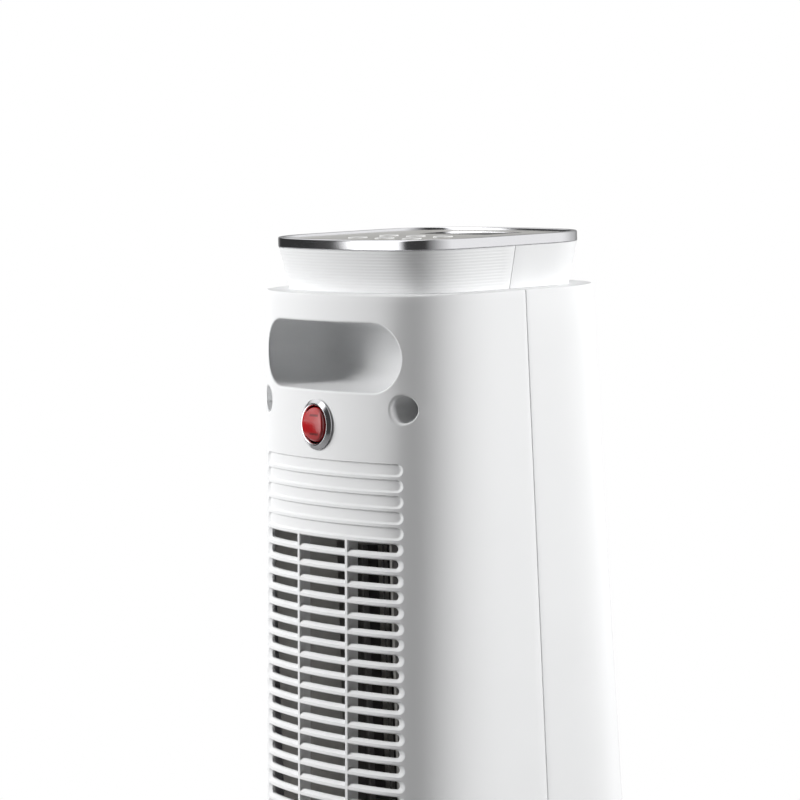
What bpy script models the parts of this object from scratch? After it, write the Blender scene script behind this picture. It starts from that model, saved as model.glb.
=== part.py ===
"""Tower fan heater with a carry handle, a round rocker switch and a swivel base.

Metres, +Z up. The origin is the middle of the base on the floor and the front faces -Y.
"""
import math

import bmesh
import bpy
from mathutils import Matrix, Vector

# Fits shared by all the pieces
seat = 0.0003
running_gap = 0.00015
overrun = 0.004
merge_distance = 0.00001
half_share = 0.5

# Counts that set how round things are
corner_steps = 5
round_sides = 24
button_sides = 16
boss_sides = 16
small_sides = 10
base_sides = 32
sharp_angle = 30.0

# Tower outline, fitted to the photograph
ledge_height = 0.616
ledge_half_width = 0.0703
ledge_half_depth = 0.0613
depth_growth_share = 0.0404
face_radius = 0.196
corner_radius = 0.035
wall = 0.0024
seam_offset = 0.0003
seam_lean_share = 0.0186

# Collar and rim above the ledge
collar_height = 0.0187
collar_foot_inset = 0.0106
collar_top_inset = 0.0064
collar_wall = 0.002
collar_seam_offset = 0.0001
ledge_lip = 0.002
rim_height = 0.0047
rim_inset = 0.0062
rim_wall = 0.0022
rim_flange = 0.006
rim_flange_thickness = 0.0012

# Control panel, its window, buttons and board
panel_drop = 0.0012
post_length = 0.008
post_radius = 0.0025
post_x = 0.041
post_y = 0.027
window_width = 0.050
window_depth = 0.022
window_centre_y = -0.026
window_thickness = 0.0012
window_step = 0.002
button_radius = 0.0045
button_proud = 0.0008
button_flange_radius = 0.006
button_flange_thickness = 0.001
button_stem_radius = 0.0018
button_travel = 0.0008
button_pitch_x = 0.020
button_pitch_y = 0.018
button_row_y = 0.006
board_thickness = 0.0016
board_half_width = 0.045
board_half_depth = 0.037
tact_side = 0.006
tact_height = 0.0035
module_height = 0.005

# Carry handle pocket in the rear shell
handle_drop = 0.028
handle_half_width = 0.0501
handle_height = 0.0319
handle_depth = 0.0395
handle_wall = 0.002
handle_steps = 6

# Round rocker switch, a little off the middle
switch_drop = 0.0586
switch_x = 0.0025
bezel_radius = 0.0115
bezel_proud = 0.0019
switch_body_radius = 0.0098
switch_body_depth = 0.021
switch_mouth_radius = 0.00865
rocker_radius = 0.0079
rocker_crown = 0.0018
barrel_radius = 0.014
pivot_below_bezel = 0.0055
rocker_below_pivot = 0.0035
rocker_sweep_room = 0.0015
pin_radius = 0.0012
pin_reach = 0.0096
blade_width = 0.0063
blade_thickness = 0.0008
blade_length = 0.009
blade_spacing = 0.0045

# Shell screws in deep round recesses
screw_x = 0.0503
upper_screw_drop = 0.0501
lower_screw_height = 0.080
recess_radius = 0.006
recess_wall = 0.002
recess_floor_offset = 0.012
recess_floor_thickness = 0.003
boss_radius = 0.005
screw_shank_radius = 0.0015
screw_head_radius = 0.0032
screw_head_height = 0.0022
screw_bite = 0.012
screw_hole_gap = 0.0003

# Rear intake grille
slot_pitch = 0.007
slot_height = 0.004
first_slot_drop = 0.1115
slot_rows = 36
blind_rows = 5
blind_depth = 0.0006
blind_extra = 0.0003
blind_reach = 0.0019
slot_half_length = 0.0478
slot_growth_share = 0.0064
slot_end_steps = 2
rib_x = 0.0179
rib_thickness = 0.0016
rib_draft = 0.0002
rib_depth = 0.006

# Front outlet grille
outlet_below_fan = 0.006
outlet_above_fan = 0.014
outlet_half_width = 0.040
grille_flange = 0.003
grille_flange_thickness = 0.0015
grille_columns = 8
grille_bands = 4
grille_bar = 0.0022
grille_band_bar = 0.004
grille_margin = 0.003

# Base, hub and turntable
foot_radius = 0.009
foot_height = 0.005
foot_circle_radius = 0.098
foot_count = 4
base_radius = 0.118
base_top = 0.034
base_skirt_top = 0.020
base_flat_radius = 0.060
base_shoulder_steps = 4
cover_wall = 0.0025
plate_thickness = 0.003
hub_radius = 0.022
hub_bore_radius = 0.012
hub_shoulder_radius = 0.030
washer_inner_radius = 0.027
washer_outer_radius = 0.046
washer_thickness = 0.0015
floor_thickness = 0.003
hub_play = 0.0003

# Swing drive
gear_module = 0.00125
ring_teeth = 48
ring_half_sector = 52.5
pinion_teeth = 16
tooth_addendum_share = 0.8
tooth_dedendum_share = 1.1
tooth_thinning = 0.00022
gear_centre_gap = 0.0001
pressure_angle = 20.0
flank_steps = 1
gear_thickness = 0.006
gear_screw_y = 0.017
pinion_extra = 0.0005
pinion_shaft_radius = 0.002
pinion_shaft_length = 0.006
swing_motor_radius = 0.022
swing_motor_height = 0.015
ear_half_width = 0.005
ear_half_span = 0.031
ear_thickness = 0.0012
motor_post_radius = 0.0035
motor_post_y = 0.0265

# Tip-over switch in the base
tip_x = -0.070
plunger_radius = 0.003
plunger_floor_gap = 0.0001
plunger_height = 0.0165
plunger_travel = 0.005
plunger_collar_radius = 0.0045
plunger_collar_thickness = 0.0012
tip_body_half_width = 0.007
tip_body_height = 0.0145
tip_cavity_height = 0.011

# Cord inlet bush in the base skirt
bush_height = 0.0127
bush_flange_radius = 0.0055
bush_flange_thickness = 0.0012
bush_body_radius = 0.0041
bush_bore_radius = 0.003
bush_inside = 0.0015
bush_pocket_depth = 0.0017

# Fan, its casing and its plates
fan_x = 0.006
fan_y = 0.010
fan_radius = 0.032
blade_inner_radius = 0.0255
fan_blades = 16
fan_blade_thickness = 0.0009
fan_blade_twist = 30.0
fan_blade_tip_inset = 0.0008
fan_hoop_overlap = 0.0016
fan_disc_thickness = 0.002
fan_running_room = 0.005
shaft_radius = 0.0025
lower_plate_height = 0.240
electronics_bay_height = 0.108
duct_plate_thickness = 0.003
duct_plate_front = -0.052
duct_plate_rear = 0.057
casing_thickness = 0.0016
casing_clearance = 0.003
casing_growth = 0.012
casing_start_angle = 40.0
casing_end_angle = -58.0
casing_steps = 9
casing_lip_y = 0.0540
casing_lip_x = 0.0515
cutoff_angle = 205.0
cutoff_lip_x = -0.036
cutoff_bend_x = -0.031
cutoff_lip_bend_y = 0.027
casing_straight = 0.002
bearing_radius = 0.0065
bearing_height = 0.007

# Fan motor under the lower plate
motor_post_length = 0.012
duct_post_radius = 0.003
duct_post_x = 0.0265
stator_half_width = 0.031
stator_front = -0.018
stator_rear = 0.034
stator_thickness = 0.018
stator_bore_radius = 0.013
rotor_radius = 0.0126
rotor_height = 0.020
leg_depth = 0.010
coil_half_width = 0.013
coil_build = 0.007
window_clearance = 0.0008
bracket_half_width = 0.022
bracket_half_depth = 0.008
bracket_thickness = 0.002
bracket_cup_radius = 0.006
bracket_cup_height = 0.004
shaft_foot = 0.002

# Heater
frame_back = -0.0305
frame_depth = 0.022
frame_half_width = 0.036
frame_side = 0.006
frame_end = 0.006
core_depth = 0.014
strip_half_width = 0.002
fin_rows = 14
fin_thickness = 0.0015
fin_margin = 0.0015
cutout_radius = 0.007
cutout_height = 0.006
cutout_x = 0.018
cutout_y = -0.044

# Power board above the fan
power_board_y = -0.030
power_board_half_width = 0.040
power_board_height = 0.082
relay_width = 0.019
relay_depth = 0.0155
relay_height = 0.015
relay_x = 0.016
relay_above_board_foot = 0.048
terminal_half_width = 0.016
terminal_height = 0.012
terminal_depth = 0.010
terminal_above_board_foot = 0.008

# Heights and places worked out from the sizes above
plate_bottom = foot_height + seat
plate_top = plate_bottom + plate_thickness
floor_bottom = base_top + seat + washer_thickness + seat
floor_top = floor_bottom + floor_thickness
hub_top = floor_top + hub_play
gear_bottom = hub_top + seat
gear_top = gear_bottom + gear_thickness
pinion_bottom = floor_top + seat
pinion_top = gear_top + pinion_extra
swing_motor_bottom = pinion_top + seat
ring_pitch_radius = half_share * ring_teeth * gear_module
pinion_pitch_radius = half_share * pinion_teeth * gear_module
pinion_x = ring_pitch_radius + pinion_pitch_radius + gear_centre_gap
rim_bottom = ledge_height + seat + collar_height + seat
rim_top = rim_bottom + rim_height
panel_bottom = rim_bottom + rim_flange_thickness + seat
panel_top = rim_top - panel_drop
board_top = panel_bottom - post_length - seat
board_bottom = board_top - board_thickness
upper_plate_height = ledge_height - electronics_bay_height
outlet_low = lower_plate_height - outlet_below_fan
outlet_high = upper_plate_height + outlet_above_fan
lower_plate_top = lower_plate_height + duct_plate_thickness
wheel_bottom = lower_plate_top + fan_running_room
wheel_top = upper_plate_height - fan_running_room
upper_plate_top = upper_plate_height + duct_plate_thickness
stator_top = lower_plate_height - motor_post_length - seat
stator_bottom = stator_top - stator_thickness
bracket_top = stator_bottom - seat
shaft_bottom = bracket_top - bracket_thickness - bracket_cup_height - shaft_foot
frame_front = frame_back - frame_depth
power_board_foot = upper_plate_top + seat


def new_collection(name):
    collection = bpy.data.collections.new(name)
    bpy.context.scene.collection.children.link(collection)
    return collection


def clear_scene():
    for old in list(bpy.data.objects):
        bpy.data.objects.remove(old)


def paint(name, colour, roughness, metallic=0.0, see_through=0.0):
    """A plain material from a colour, a roughness and a metallic value."""
    material = bpy.data.materials.new(name)
    material.use_nodes = True
    shader = material.node_tree.nodes["Principled BSDF"]
    shader.inputs["Base Color"].default_value = (*colour, 1.0)
    shader.inputs["Roughness"].default_value = roughness
    shader.inputs["Metallic"].default_value = metallic
    shader.inputs["Transmission Weight"].default_value = see_through
    return material


clear_scene()
parts = new_collection("tower_heater")
cutters = new_collection("tower_heater_cutters")

white_shell = paint("white_shell", (0.86, 0.87, 0.87), 0.45)
white_trim = paint("white_trim", (0.84, 0.85, 0.85), 0.4)
grey_panel = paint("grey_panel", (0.62, 0.61, 0.58), 0.4)
chrome = paint("chrome", (0.85, 0.85, 0.86), 0.12, 1.0)
black_gloss = paint("black_gloss", (0.03, 0.03, 0.035), 0.15)
black_plastic = paint("black_plastic", (0.05, 0.05, 0.055), 0.5)
dark_window = paint("dark_window", (0.04, 0.045, 0.05), 0.08, 0.0, 0.3)
red_lens = paint("red_lens", (0.72, 0.02, 0.03), 0.15, 0.0, 0.5)
button_white = paint("button_white", (0.8, 0.8, 0.79), 0.35)
board_green = paint("board_green", (0.05, 0.22, 0.1), 0.5)
steel = paint("steel", (0.6, 0.6, 0.61), 0.3, 1.0)
galvanised = paint("galvanised", (0.52, 0.53, 0.54), 0.4, 1.0)
copper = paint("copper", (0.65, 0.3, 0.13), 0.35, 1.0)
aluminium = paint("aluminium", (0.75, 0.75, 0.76), 0.35, 1.0)
grey_casing = paint("grey_casing", (0.34, 0.35, 0.36), 0.5)
rubber = paint("rubber", (0.03, 0.03, 0.03), 0.8)
nylon = paint("nylon", (0.78, 0.77, 0.7), 0.45)
relay_blue = paint("relay_blue", (0.06, 0.16, 0.45), 0.35)
ceramic = paint("ceramic", (0.24, 0.23, 0.22), 0.6)


def adopt(name, mesh, material=None):
    """Make an object of a mesh: a piece when it has a material, or else a cutter."""
    made = bpy.data.objects.new(name, mesh)
    if material is None:
        cutters.objects.link(made)
        made.hide_render = True
        made.display_type = "WIRE"
    else:
        parts.objects.link(made)
        mesh.materials.append(material)
        mesh.shade_smooth()
        mesh.set_sharp_from_angle(angle=math.radians(sharp_angle))
    return made


def from_bmesh(name, shape, material=None):
    mesh = bpy.data.meshes.new(name)
    bmesh.ops.recalc_face_normals(shape, faces=shape.faces)
    if shape.calc_volume(signed=True) < 0:
        bmesh.ops.reverse_faces(shape, faces=shape.faces)
    shape.to_mesh(mesh)
    shape.free()
    return adopt(name, mesh, material)


def box(name, low, high, material=None):
    """A box between two opposite corners."""
    shape = bmesh.new()
    bmesh.ops.create_cube(shape, size=1.0)
    low = Vector(low)
    high = Vector(high)
    bmesh.ops.scale(shape, vec=high - low, verts=shape.verts)
    bmesh.ops.translate(shape, vec=(low + high) * half_share, verts=shape.verts)
    return from_bmesh(name, shape, material)


def rod(name, radius, start, end, material=None, sides=round_sides):
    """A cylinder between two points."""
    start, end = sorted((Vector(start), Vector(end)), key=lambda place: place.z)
    along = end - start
    shape = bmesh.new()
    bmesh.ops.create_cone(shape, cap_ends=True, segments=sides, radius1=radius, radius2=radius,
                          depth=along.length)
    turn = Vector((0, 0, 1)).rotation_difference(along).to_matrix().to_4x4()
    shape.transform(Matrix.Translation((start + end) * half_share) @ turn)
    return from_bmesh(name, shape, material)


def turned(name, profile, material=None, sides=round_sides):
    """A ring-shaped piece: a closed profile of (radius, height) points turned about Z."""
    mesh = bpy.data.meshes.new(name)
    count = len(profile)
    mesh.from_pydata([(radius, 0, height) for radius, height in profile],
                     [(i, (i + 1) % count) for i in range(count)], [])
    made = adopt(name, mesh, material)
    screw = made.modifiers.new("turn", "SCREW")
    screw.steps = sides
    screw.render_steps = sides
    screw.use_merge_vertices = True
    screw.merge_threshold = merge_distance
    return made


def flat_piece(name, loops, low, high, material=None):
    """A flat outline, with any holes as further loops, between two heights."""
    curve = bpy.data.curves.new(name, "CURVE")
    curve.dimensions = "2D"
    curve.fill_mode = "BOTH"
    curve.extrude = (high - low) * half_share
    for loop in loops:
        spline = curve.splines.new("POLY")
        spline.points.add(len(loop) - 1)
        for point, (x, y) in zip(spline.points, loop):
            point.co = (x, y, 0, 1)
        spline.use_cyclic_u = True
    guide = bpy.data.objects.new(name, curve)
    cutters.objects.link(guide)
    evaluated = guide.evaluated_get(bpy.context.evaluated_depsgraph_get())
    mesh = bpy.data.meshes.new_from_object(evaluated)
    bpy.data.objects.remove(guide)
    shape = bmesh.new()
    shape.from_mesh(mesh)
    bpy.data.meshes.remove(mesh)
    bmesh.ops.remove_doubles(shape, verts=shape.verts, dist=merge_distance)
    bmesh.ops.translate(shape, vec=(0, 0, (low + high) * half_share), verts=shape.verts)
    return from_bmesh(name, shape, material)


def facing_rear(made):
    """Stand a flat piece up: its outline's Y becomes height and its height becomes -Y."""
    made.data.transform(Matrix.Rotation(math.radians(90), 4, "X"))
    return made


def joined(name, pieces):
    """One cutter from several that don't touch."""
    shape = bmesh.new()
    for piece in pieces:
        shape.from_mesh(piece.data)
        bpy.data.objects.remove(piece)
    return from_bmesh(name, shape)


def boolean(made, other, operation):
    modifier = made.modifiers.new(other.name, "BOOLEAN")
    modifier.operation = operation
    modifier.solver = "EXACT"
    modifier.object = other
    return made


def cut(made, *others):
    for other in others:
        boolean(made, other, "DIFFERENCE")
    return made


def join(made, *others):
    for other in others:
        boolean(made, other, "UNION")
    return made


def empty(name, place, turn=None):
    holder = bpy.data.objects.new(name, None)
    parts.objects.link(holder)
    holder.location = place
    if turn is not None:
        holder.rotation_euler = turn
    return holder


def arc(centre_x, centre_y, radius, start, end, steps):
    """Points on an arc; angles in radians from +Y towards +X."""
    turns = [start + (end - start) * i / steps for i in range(steps + 1)]
    return [(centre_x + radius * math.sin(t), centre_y + radius * math.cos(t)) for t in turns]


def half_depth(height):
    """The tower is deeper towards its foot."""
    return ledge_half_depth + depth_growth_share * (ledge_height - height)


def outline(depth, inset):
    """The tower's section: gently curved front and rear faces with large round corners."""
    face = face_radius - inset
    corner = corner_radius - inset
    half_wide = ledge_half_width - inset
    face_centre = depth - inset - face
    corner_x = half_wide - corner
    corner_y = face_centre + math.sqrt((face - corner) ** 2 - corner_x ** 2)
    meet = math.atan2(corner_x, corner_y - face_centre)
    rib_turn = min(math.asin(rib_x / face), meet * half_share)
    rear = arc(0, face_centre, face, 0, rib_turn, 1)
    rear += arc(corner_x, corner_y, corner, meet, math.radians(90), corner_steps)
    front = [(x, -y) for x, y in reversed(rear)]
    right = rear + front
    left = [(-x, y) for x, y in reversed(right[1:-1])]
    return right + left


def loft(name, lower, low, upper, high, material=None):
    """A solid between two outlines with the same number of points at two heights."""
    shape = bmesh.new()
    foot = [shape.verts.new((x, y, low)) for x, y in lower]
    head = [shape.verts.new((x, y, high)) for x, y in upper]
    shape.faces.new(foot)
    shape.faces.new(head)
    for i in range(len(foot)):
        nxt = (i + 1) % len(foot)
        shape.faces.new((foot[i], foot[nxt], head[nxt], head[i]))
    return from_bmesh(name, shape, material)


def tower_solid(name, inset, low, high, material=None):
    """The tower's outer form, drawn in by an inset, between two heights."""
    return loft(name, outline(half_depth(low), inset), low, outline(half_depth(high), inset), high, material)


def neck_solid(name, foot_inset, low, top_inset, high, material=None):
    """A form that follows the ledge's outline, with its own inset at each height."""
    lower = outline(ledge_half_depth, foot_inset)
    upper = outline(ledge_half_depth, top_inset)
    return loft(name, lower, low, upper, high, material)


def rear_face(x, height):
    """Where the rear face or its round corner lies at a place across the tower."""
    depth = half_depth(height)
    centre = depth - face_radius
    corner_x = ledge_half_width - corner_radius
    reach = math.sqrt((face_radius - corner_radius) ** 2 - corner_x ** 2)
    meet_x = face_radius * corner_x / (face_radius - corner_radius)
    if abs(x) < meet_x:
        return centre + math.sqrt(face_radius ** 2 - x ** 2)
    return centre + reach + math.sqrt(corner_radius ** 2 - (abs(x) - corner_x) ** 2)


def seam_y(height):
    return seam_offset - seam_lean_share * (ledge_height - height)


def seam_half(name, side):
    """Everything behind (+1) or before (-1) the side seam, with half of the seam's gap."""
    reach = ledge_height
    shift = -side * seat * half_share
    low = floor_bottom - overrun
    high = ledge_height + overrun
    lower = [(-reach, seam_y(low) + shift), (reach, seam_y(low) + shift), (reach, side * reach),
             (-reach, side * reach)]
    upper = [(-reach, seam_y(high) + shift), (reach, seam_y(high) + shift), (reach, side * reach),
             (-reach, side * reach)]
    return loft(name, lower, low, upper, high)


def stadium(half_length, half_height, steps):
    """A slot outline with round ends."""
    straight = half_length - half_height
    right = arc(straight, 0, half_height, 0, math.radians(180), steps)
    left = arc(-straight, 0, half_height, math.radians(180), math.radians(360), steps)
    return right + left


def half_stadium(start, half_length, half_height, steps):
    """The end stretch of a slot, from a rib to its round end."""
    straight = half_length - half_height
    return [(start, half_height)] + arc(straight, 0, half_height, 0, math.radians(180), steps) + [
        (start, -half_height)]


def raised(loop, height, side=1):
    return [(side * x, y + height) for x, y in loop]


def through_rear(name, loop, front_y, rear_y, material=None):
    """An outline in X and Z, run from front to rear."""
    return facing_rear(flat_piece(name, [loop], -rear_y, -front_y, material))


screw_heights = (ledge_height - upper_screw_drop, lower_screw_height)
screw_places = [(side * screw_x, height) for height in screw_heights for side in (-1, 1)]
handle_middle = ledge_height - handle_drop
handle_floor_y = half_depth(handle_middle) - handle_depth
boss_end_y = recess_floor_offset - recess_floor_thickness - seat


def shell_cavity(name):
    """The hollow inside both shells, before the blocks that stay solid are taken out of it."""
    return tower_solid(name, wall, floor_bottom - overrun, ledge_height - wall)


def ledge_opening(name):
    """The hole through the ledge inside the collar."""
    inset = collar_foot_inset + collar_wall + ledge_lip
    return neck_solid(name, inset, ledge_height - wall - overrun, inset, ledge_height + overrun)


def handle_loop(grow):
    half_height = handle_height * half_share + grow
    return raised(stadium(handle_half_width + grow, half_height, handle_steps), handle_middle)


def slot_loops(row):
    """The three stretches of one slot, between and beyond the ribs."""
    height = ledge_height - first_slot_drop - row * slot_pitch
    half_length = slot_half_length + slot_growth_share * row * slot_pitch
    half_height = slot_height * half_share
    inner = rib_x - rib_thickness * half_share
    outer = rib_x + rib_thickness * half_share
    middle = [(-inner, half_height), (inner, half_height), (inner, -half_height), (-inner, -half_height)]
    end = half_stadium(outer, half_length, half_height, slot_end_steps)
    return height, [raised(middle, height), raised(end, height), raised(end, height, -1)]


def slot_cutter():
    pieces = []
    for row in range(slot_rows):
        height, loops = slot_loops(row)
        rear_y = half_depth(height) + overrun
        front_y = rear_face(slot_half_length, height) - wall - overrun
        for number, loop in enumerate(loops):
            pieces.append(through_rear(f"slot_{row}_{number}", loop, front_y, rear_y))
    return joined("slots", pieces)


def blind_slot_cutter():
    """Shallow slots above the open ones, whose floors follow the rear face."""
    pieces = []
    half_height = slot_height * half_share + blind_extra
    for row in range(1, blind_rows + 1):
        height = ledge_height - first_slot_drop + row * slot_pitch
        half_length = slot_half_length - slot_growth_share * row * slot_pitch + blind_reach
        loop = raised(stadium(half_length, half_height, slot_end_steps), height)
        rear_y = half_depth(height) + overrun
        pieces.append(through_rear(f"blind_{row}", loop, handle_floor_y, rear_y))
    blind = joined("blind_slots", pieces)
    core = tower_solid("blind_core", blind_depth, floor_bottom, ledge_height)
    return cut(blind, core)


def rib_block(name, x):
    """A stiffening rib behind the slots, standing square to the leaning rear face."""
    low = ledge_height - first_slot_drop - slot_rows * slot_pitch
    high = ledge_height - first_slot_drop + slot_pitch
    half_thick = (rib_thickness - rib_draft) * half_share
    lower = rear_face(x, low) - rib_depth
    upper = rear_face(x, high) - rib_depth
    reach = half_depth(low) + overrun

    def rectangle(near):
        return [(x - half_thick, near), (x + half_thick, near), (x + half_thick, reach),
                (x - half_thick, reach)]

    return loft(name, rectangle(lower), low, rectangle(upper), high)


def recess_rod(name, radius, place, start_y):
    x, height = place
    end = (x, half_depth(height) + overrun, height)
    return rod(name, radius, (x, start_y, height), end, None, boss_sides)


def make_rear_shell():
    shell = tower_solid("rear_shell", 0, floor_bottom, ledge_height, white_shell)
    cavity = shell_cavity("rear_cavity")
    reach = half_depth(floor_bottom) + overrun
    cut(cavity, through_rear("handle_block", handle_loop(handle_wall), handle_floor_y - handle_wall, reach))
    for number, place in enumerate(screw_places):
        start = recess_floor_offset - recess_floor_thickness
        cut(cavity, recess_rod(f"recess_block_{number}", recess_radius + recess_wall, place, start))
    for side in (-1, 1):
        cut(cavity, rib_block(f"rib_block_{side}", side * rib_x))
    cut(shell, seam_half("before_seam", -1), cavity, ledge_opening("rear_ledge_opening"))
    cut(shell, through_rear("handle_hollow", handle_loop(0), handle_floor_y, reach))
    for number, place in enumerate(screw_places):
        cut(shell, recess_rod(f"recess_{number}", recess_radius, place, recess_floor_offset))
        hole_radius = screw_shank_radius + screw_hole_gap
        cut(shell, recess_rod(f"recess_hole_{number}", hole_radius, place, boss_end_y))
    cut(shell, slot_cutter(), blind_slot_cutter())
    return shell


def make_front_shell():
    shell = tower_solid("front_shell", 0, floor_bottom, ledge_height, white_shell)
    cavity = shell_cavity("front_cavity")
    for number, (x, height) in enumerate(screw_places):
        start = (x, -half_depth(height) - overrun, height)
        cut(cavity, rod(f"boss_{number}", boss_radius, start, (x, boss_end_y, height), None, boss_sides))
    opening = box("outlet_opening", (-outlet_half_width, -half_depth(outlet_low) - overrun, outlet_low),
                  (outlet_half_width, 0, outlet_high))
    cut(shell, cavity, ledge_opening("front_ledge_opening"), opening)
    for number, (x, height) in enumerate(screw_places):
        start = (x, boss_end_y - screw_bite, height)
        end = (x, boss_end_y + overrun, height)
        hole = rod(f"boss_hole_{number}", screw_shank_radius + screw_hole_gap, start, end, None, small_sides)
        cut(shell, hole)
    behind = seam_half("behind_seam", 1)
    for number, (x, height) in enumerate(screw_places):
        start = (x, seam_y(height) - overrun, height)
        end = (x, boss_end_y, height)
        cut(behind, rod(f"boss_keep_{number}", boss_radius, start, end, None, boss_sides))
    cut(shell, behind)
    return shell


def make_front_grille():
    """A plate flush with the front shell, a flange behind it, and tall openings between bars."""
    grille = tower_solid("front_grille", seat, outlet_low, outlet_high, white_trim)
    inner = wall + seat
    cut(grille, tower_solid("grille_inside", wall + 2 * seat, outlet_low - overrun, outlet_high + overrun))
    fit_half = outlet_half_width - seat
    fit = box("grille_fit", (-fit_half, -half_depth(outlet_low) - overrun, outlet_low + seat),
              (fit_half, 0, outlet_high - seat))
    boolean(grille, fit, "INTERSECT")
    flange_low = outlet_low - grille_flange
    flange_high = outlet_high + grille_flange
    flange = tower_solid("grille_flange", inner, flange_low, flange_high)
    deep = inner + grille_flange_thickness
    cut(flange, tower_solid("grille_flange_inside", deep, flange_low - overrun, flange_high + overrun))
    flange_half = outlet_half_width + grille_flange
    reach = half_depth(flange_low) + overrun
    boolean(flange, box("flange_fit", (-flange_half, -reach, flange_low), (flange_half, 0, flange_high)),
            "INTERSECT")
    join(grille, flange)
    cut(grille, grille_openings(reach))
    return grille


def grille_openings(reach):
    usable = 2 * (outlet_half_width - grille_margin)
    wide = (usable + grille_bar) / grille_columns
    tall = (outlet_high - outlet_low - 2 * grille_margin + grille_band_bar) / grille_bands
    pieces = []
    for column in range(grille_columns):
        left = -usable * half_share + column * wide
        for band in range(grille_bands):
            low = outlet_low + grille_margin + band * tall
            pieces.append(box(f"outlet_{column}_{band}", (left, -reach, low),
                              (left + wide - grille_bar, 0, low + tall - grille_band_bar)))
    return joined("grille_openings", pieces)


def make_collar(name, side):
    """Half of the flared neck between the ledge and the rim."""
    low = ledge_height + seat
    high = low + collar_height
    collar = neck_solid(name, collar_foot_inset, low, collar_top_inset, high, white_trim)
    flare_share = (collar_foot_inset - collar_top_inset) / collar_height
    cut(collar, neck_solid(name + "_inside", collar_foot_inset + collar_wall + flare_share * overrun,
                           low - overrun, collar_top_inset + collar_wall - flare_share * overrun,
                           high + overrun))
    reach = ledge_height
    near = collar_seam_offset + side * seat * half_share
    other = -side * reach
    cut(collar, box(name + "_other_half", (-reach, min(near, other), low - overrun),
                    (reach, max(near, other), high + overrun)))
    return collar


def make_top_rim():
    rim = neck_solid("top_rim", rim_inset, rim_bottom, rim_inset, rim_top, chrome)
    upper = rim_inset + rim_wall
    cut(rim, neck_solid("rim_bed", upper, rim_bottom + rim_flange_thickness, upper, rim_top + overrun))
    lower = rim_inset + rim_flange
    cut(rim, neck_solid("rim_hole", lower, rim_bottom - overrun, lower, rim_top + overrun))
    return rim


def window_box(name, grow, low, high, material=None):
    half_wide = window_width * half_share + grow
    half_deep = window_depth * half_share + grow
    return box(name, (-half_wide, window_centre_y - half_deep, low),
               (half_wide, window_centre_y + half_deep, high), material)


button_names = ("power_button", "mode_button", "timer_button", "swing_button", "warmer_button",
                "cooler_button")


def button_place(number):
    column = number % 3 - 1
    row = number // 3
    return column * button_pitch_x, button_row_y + row * button_pitch_y


def make_control_panel():
    inset = rim_inset + rim_wall + seat
    panel = neck_solid("control_panel", inset, panel_bottom, inset, panel_top, grey_panel)
    places = [(x, y) for x in (-post_x, post_x) for y in (-post_y, post_y)]
    for number, (x, y) in enumerate(places):
        foot = (x, y, panel_bottom - post_length)
        head = (x, y, panel_bottom + seat)
        join(panel, rod(f"panel_post_{number}", post_radius, foot, head, None, small_sides))
    bed = panel_top - window_thickness - seat
    cut(panel, window_box("window_bed", seat, bed, panel_top + overrun))
    cut(panel, window_box("window_through", -window_step, panel_bottom - overrun, panel_top + overrun))
    for number in range(len(button_names)):
        x, y = button_place(number)
        cut(panel, rod(f"button_hole_{number}", button_radius + seat, (x, y, panel_bottom - overrun),
                       (x, y, panel_top + overrun), None, button_sides))
    return panel


def make_button(name, number):
    """A push button: a cap above the panel, a flange under it and a stem on its tact switch."""
    x, y = button_place(number)
    flange_top = panel_bottom - seat
    stem_foot = board_top + tact_height + button_travel + seat
    profile = [(0, panel_top + button_proud), (button_radius, panel_top + button_proud),
               (button_radius, flange_top), (button_flange_radius, flange_top),
               (button_flange_radius, flange_top - button_flange_thickness),
               (button_stem_radius, flange_top - button_flange_thickness),
               (button_stem_radius, stem_foot), (0, stem_foot)]
    holder = empty(name + "_axis", (x, y, 0))
    button = turned(name, profile, button_white, button_sides)
    button.parent = holder
    return holder


def make_control_board():
    board = box("control_board", (-board_half_width, -board_half_depth, board_bottom),
                (board_half_width, board_half_depth, board_top), board_green)
    half = tact_side * half_share
    for number in range(len(button_names)):
        x, y = button_place(number)
        join(board, box(f"tact_{number}", (x - half, y - half, board_bottom + seat),
                        (x + half, y + half, board_top + tact_height)))
    return board


def make_switch(holder):
    """The round switch body, in the frame of its own axis: +Z points out of the tower."""
    floor = bezel_proud - pivot_below_bezel - rocker_below_pivot - rocker_sweep_room
    profile = [(bezel_radius, bezel_proud), (bezel_radius, seat), (switch_body_radius, seat),
               (switch_body_radius, -switch_body_depth), (0, -switch_body_depth), (0, floor),
               (switch_mouth_radius, floor), (switch_mouth_radius, bezel_proud)]
    body = turned("switch_body", profile, black_gloss)
    pivot = bezel_proud - pivot_below_bezel
    hole = rod("pin_hole", pin_radius + seat, (-bezel_radius, 0, pivot), (bezel_radius, 0, pivot), None,
               small_sides)
    hole.parent = holder
    cut(body, hole)
    for number in (-1, 0, 1):
        y = number * blade_spacing
        blade = box(f"switch_blade_{number}",
                    (-blade_width * half_share, y - blade_thickness * half_share,
                     -switch_body_depth - blade_length),
                    (blade_width * half_share, y + blade_thickness * half_share, -switch_body_depth + seat))
        blade.parent = holder
        join(body, blade)
    body.parent = holder
    return body


def make_rocker(holder):
    """The red rocker: a round lens with a barrel face that stands above the bezel, and two pivot pins."""
    crown = pivot_below_bezel + rocker_crown
    axis = crown - barrel_radius
    rocker = rod("power_rocker", rocker_radius, (0, 0, -rocker_below_pivot), (0, 0, crown), red_lens)
    barrel = rod("rocker_barrel", barrel_radius, (-bezel_radius, 0, axis), (bezel_radius, 0, axis))
    pins = rod("rocker_pins", pin_radius, (-pin_reach, 0, 0), (pin_reach, 0, 0), None, small_sides)
    rocker.parent = holder
    barrel.parent = holder
    pins.parent = holder
    boolean(rocker, barrel, "INTERSECT")
    join(rocker, pins)
    return rocker


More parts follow.
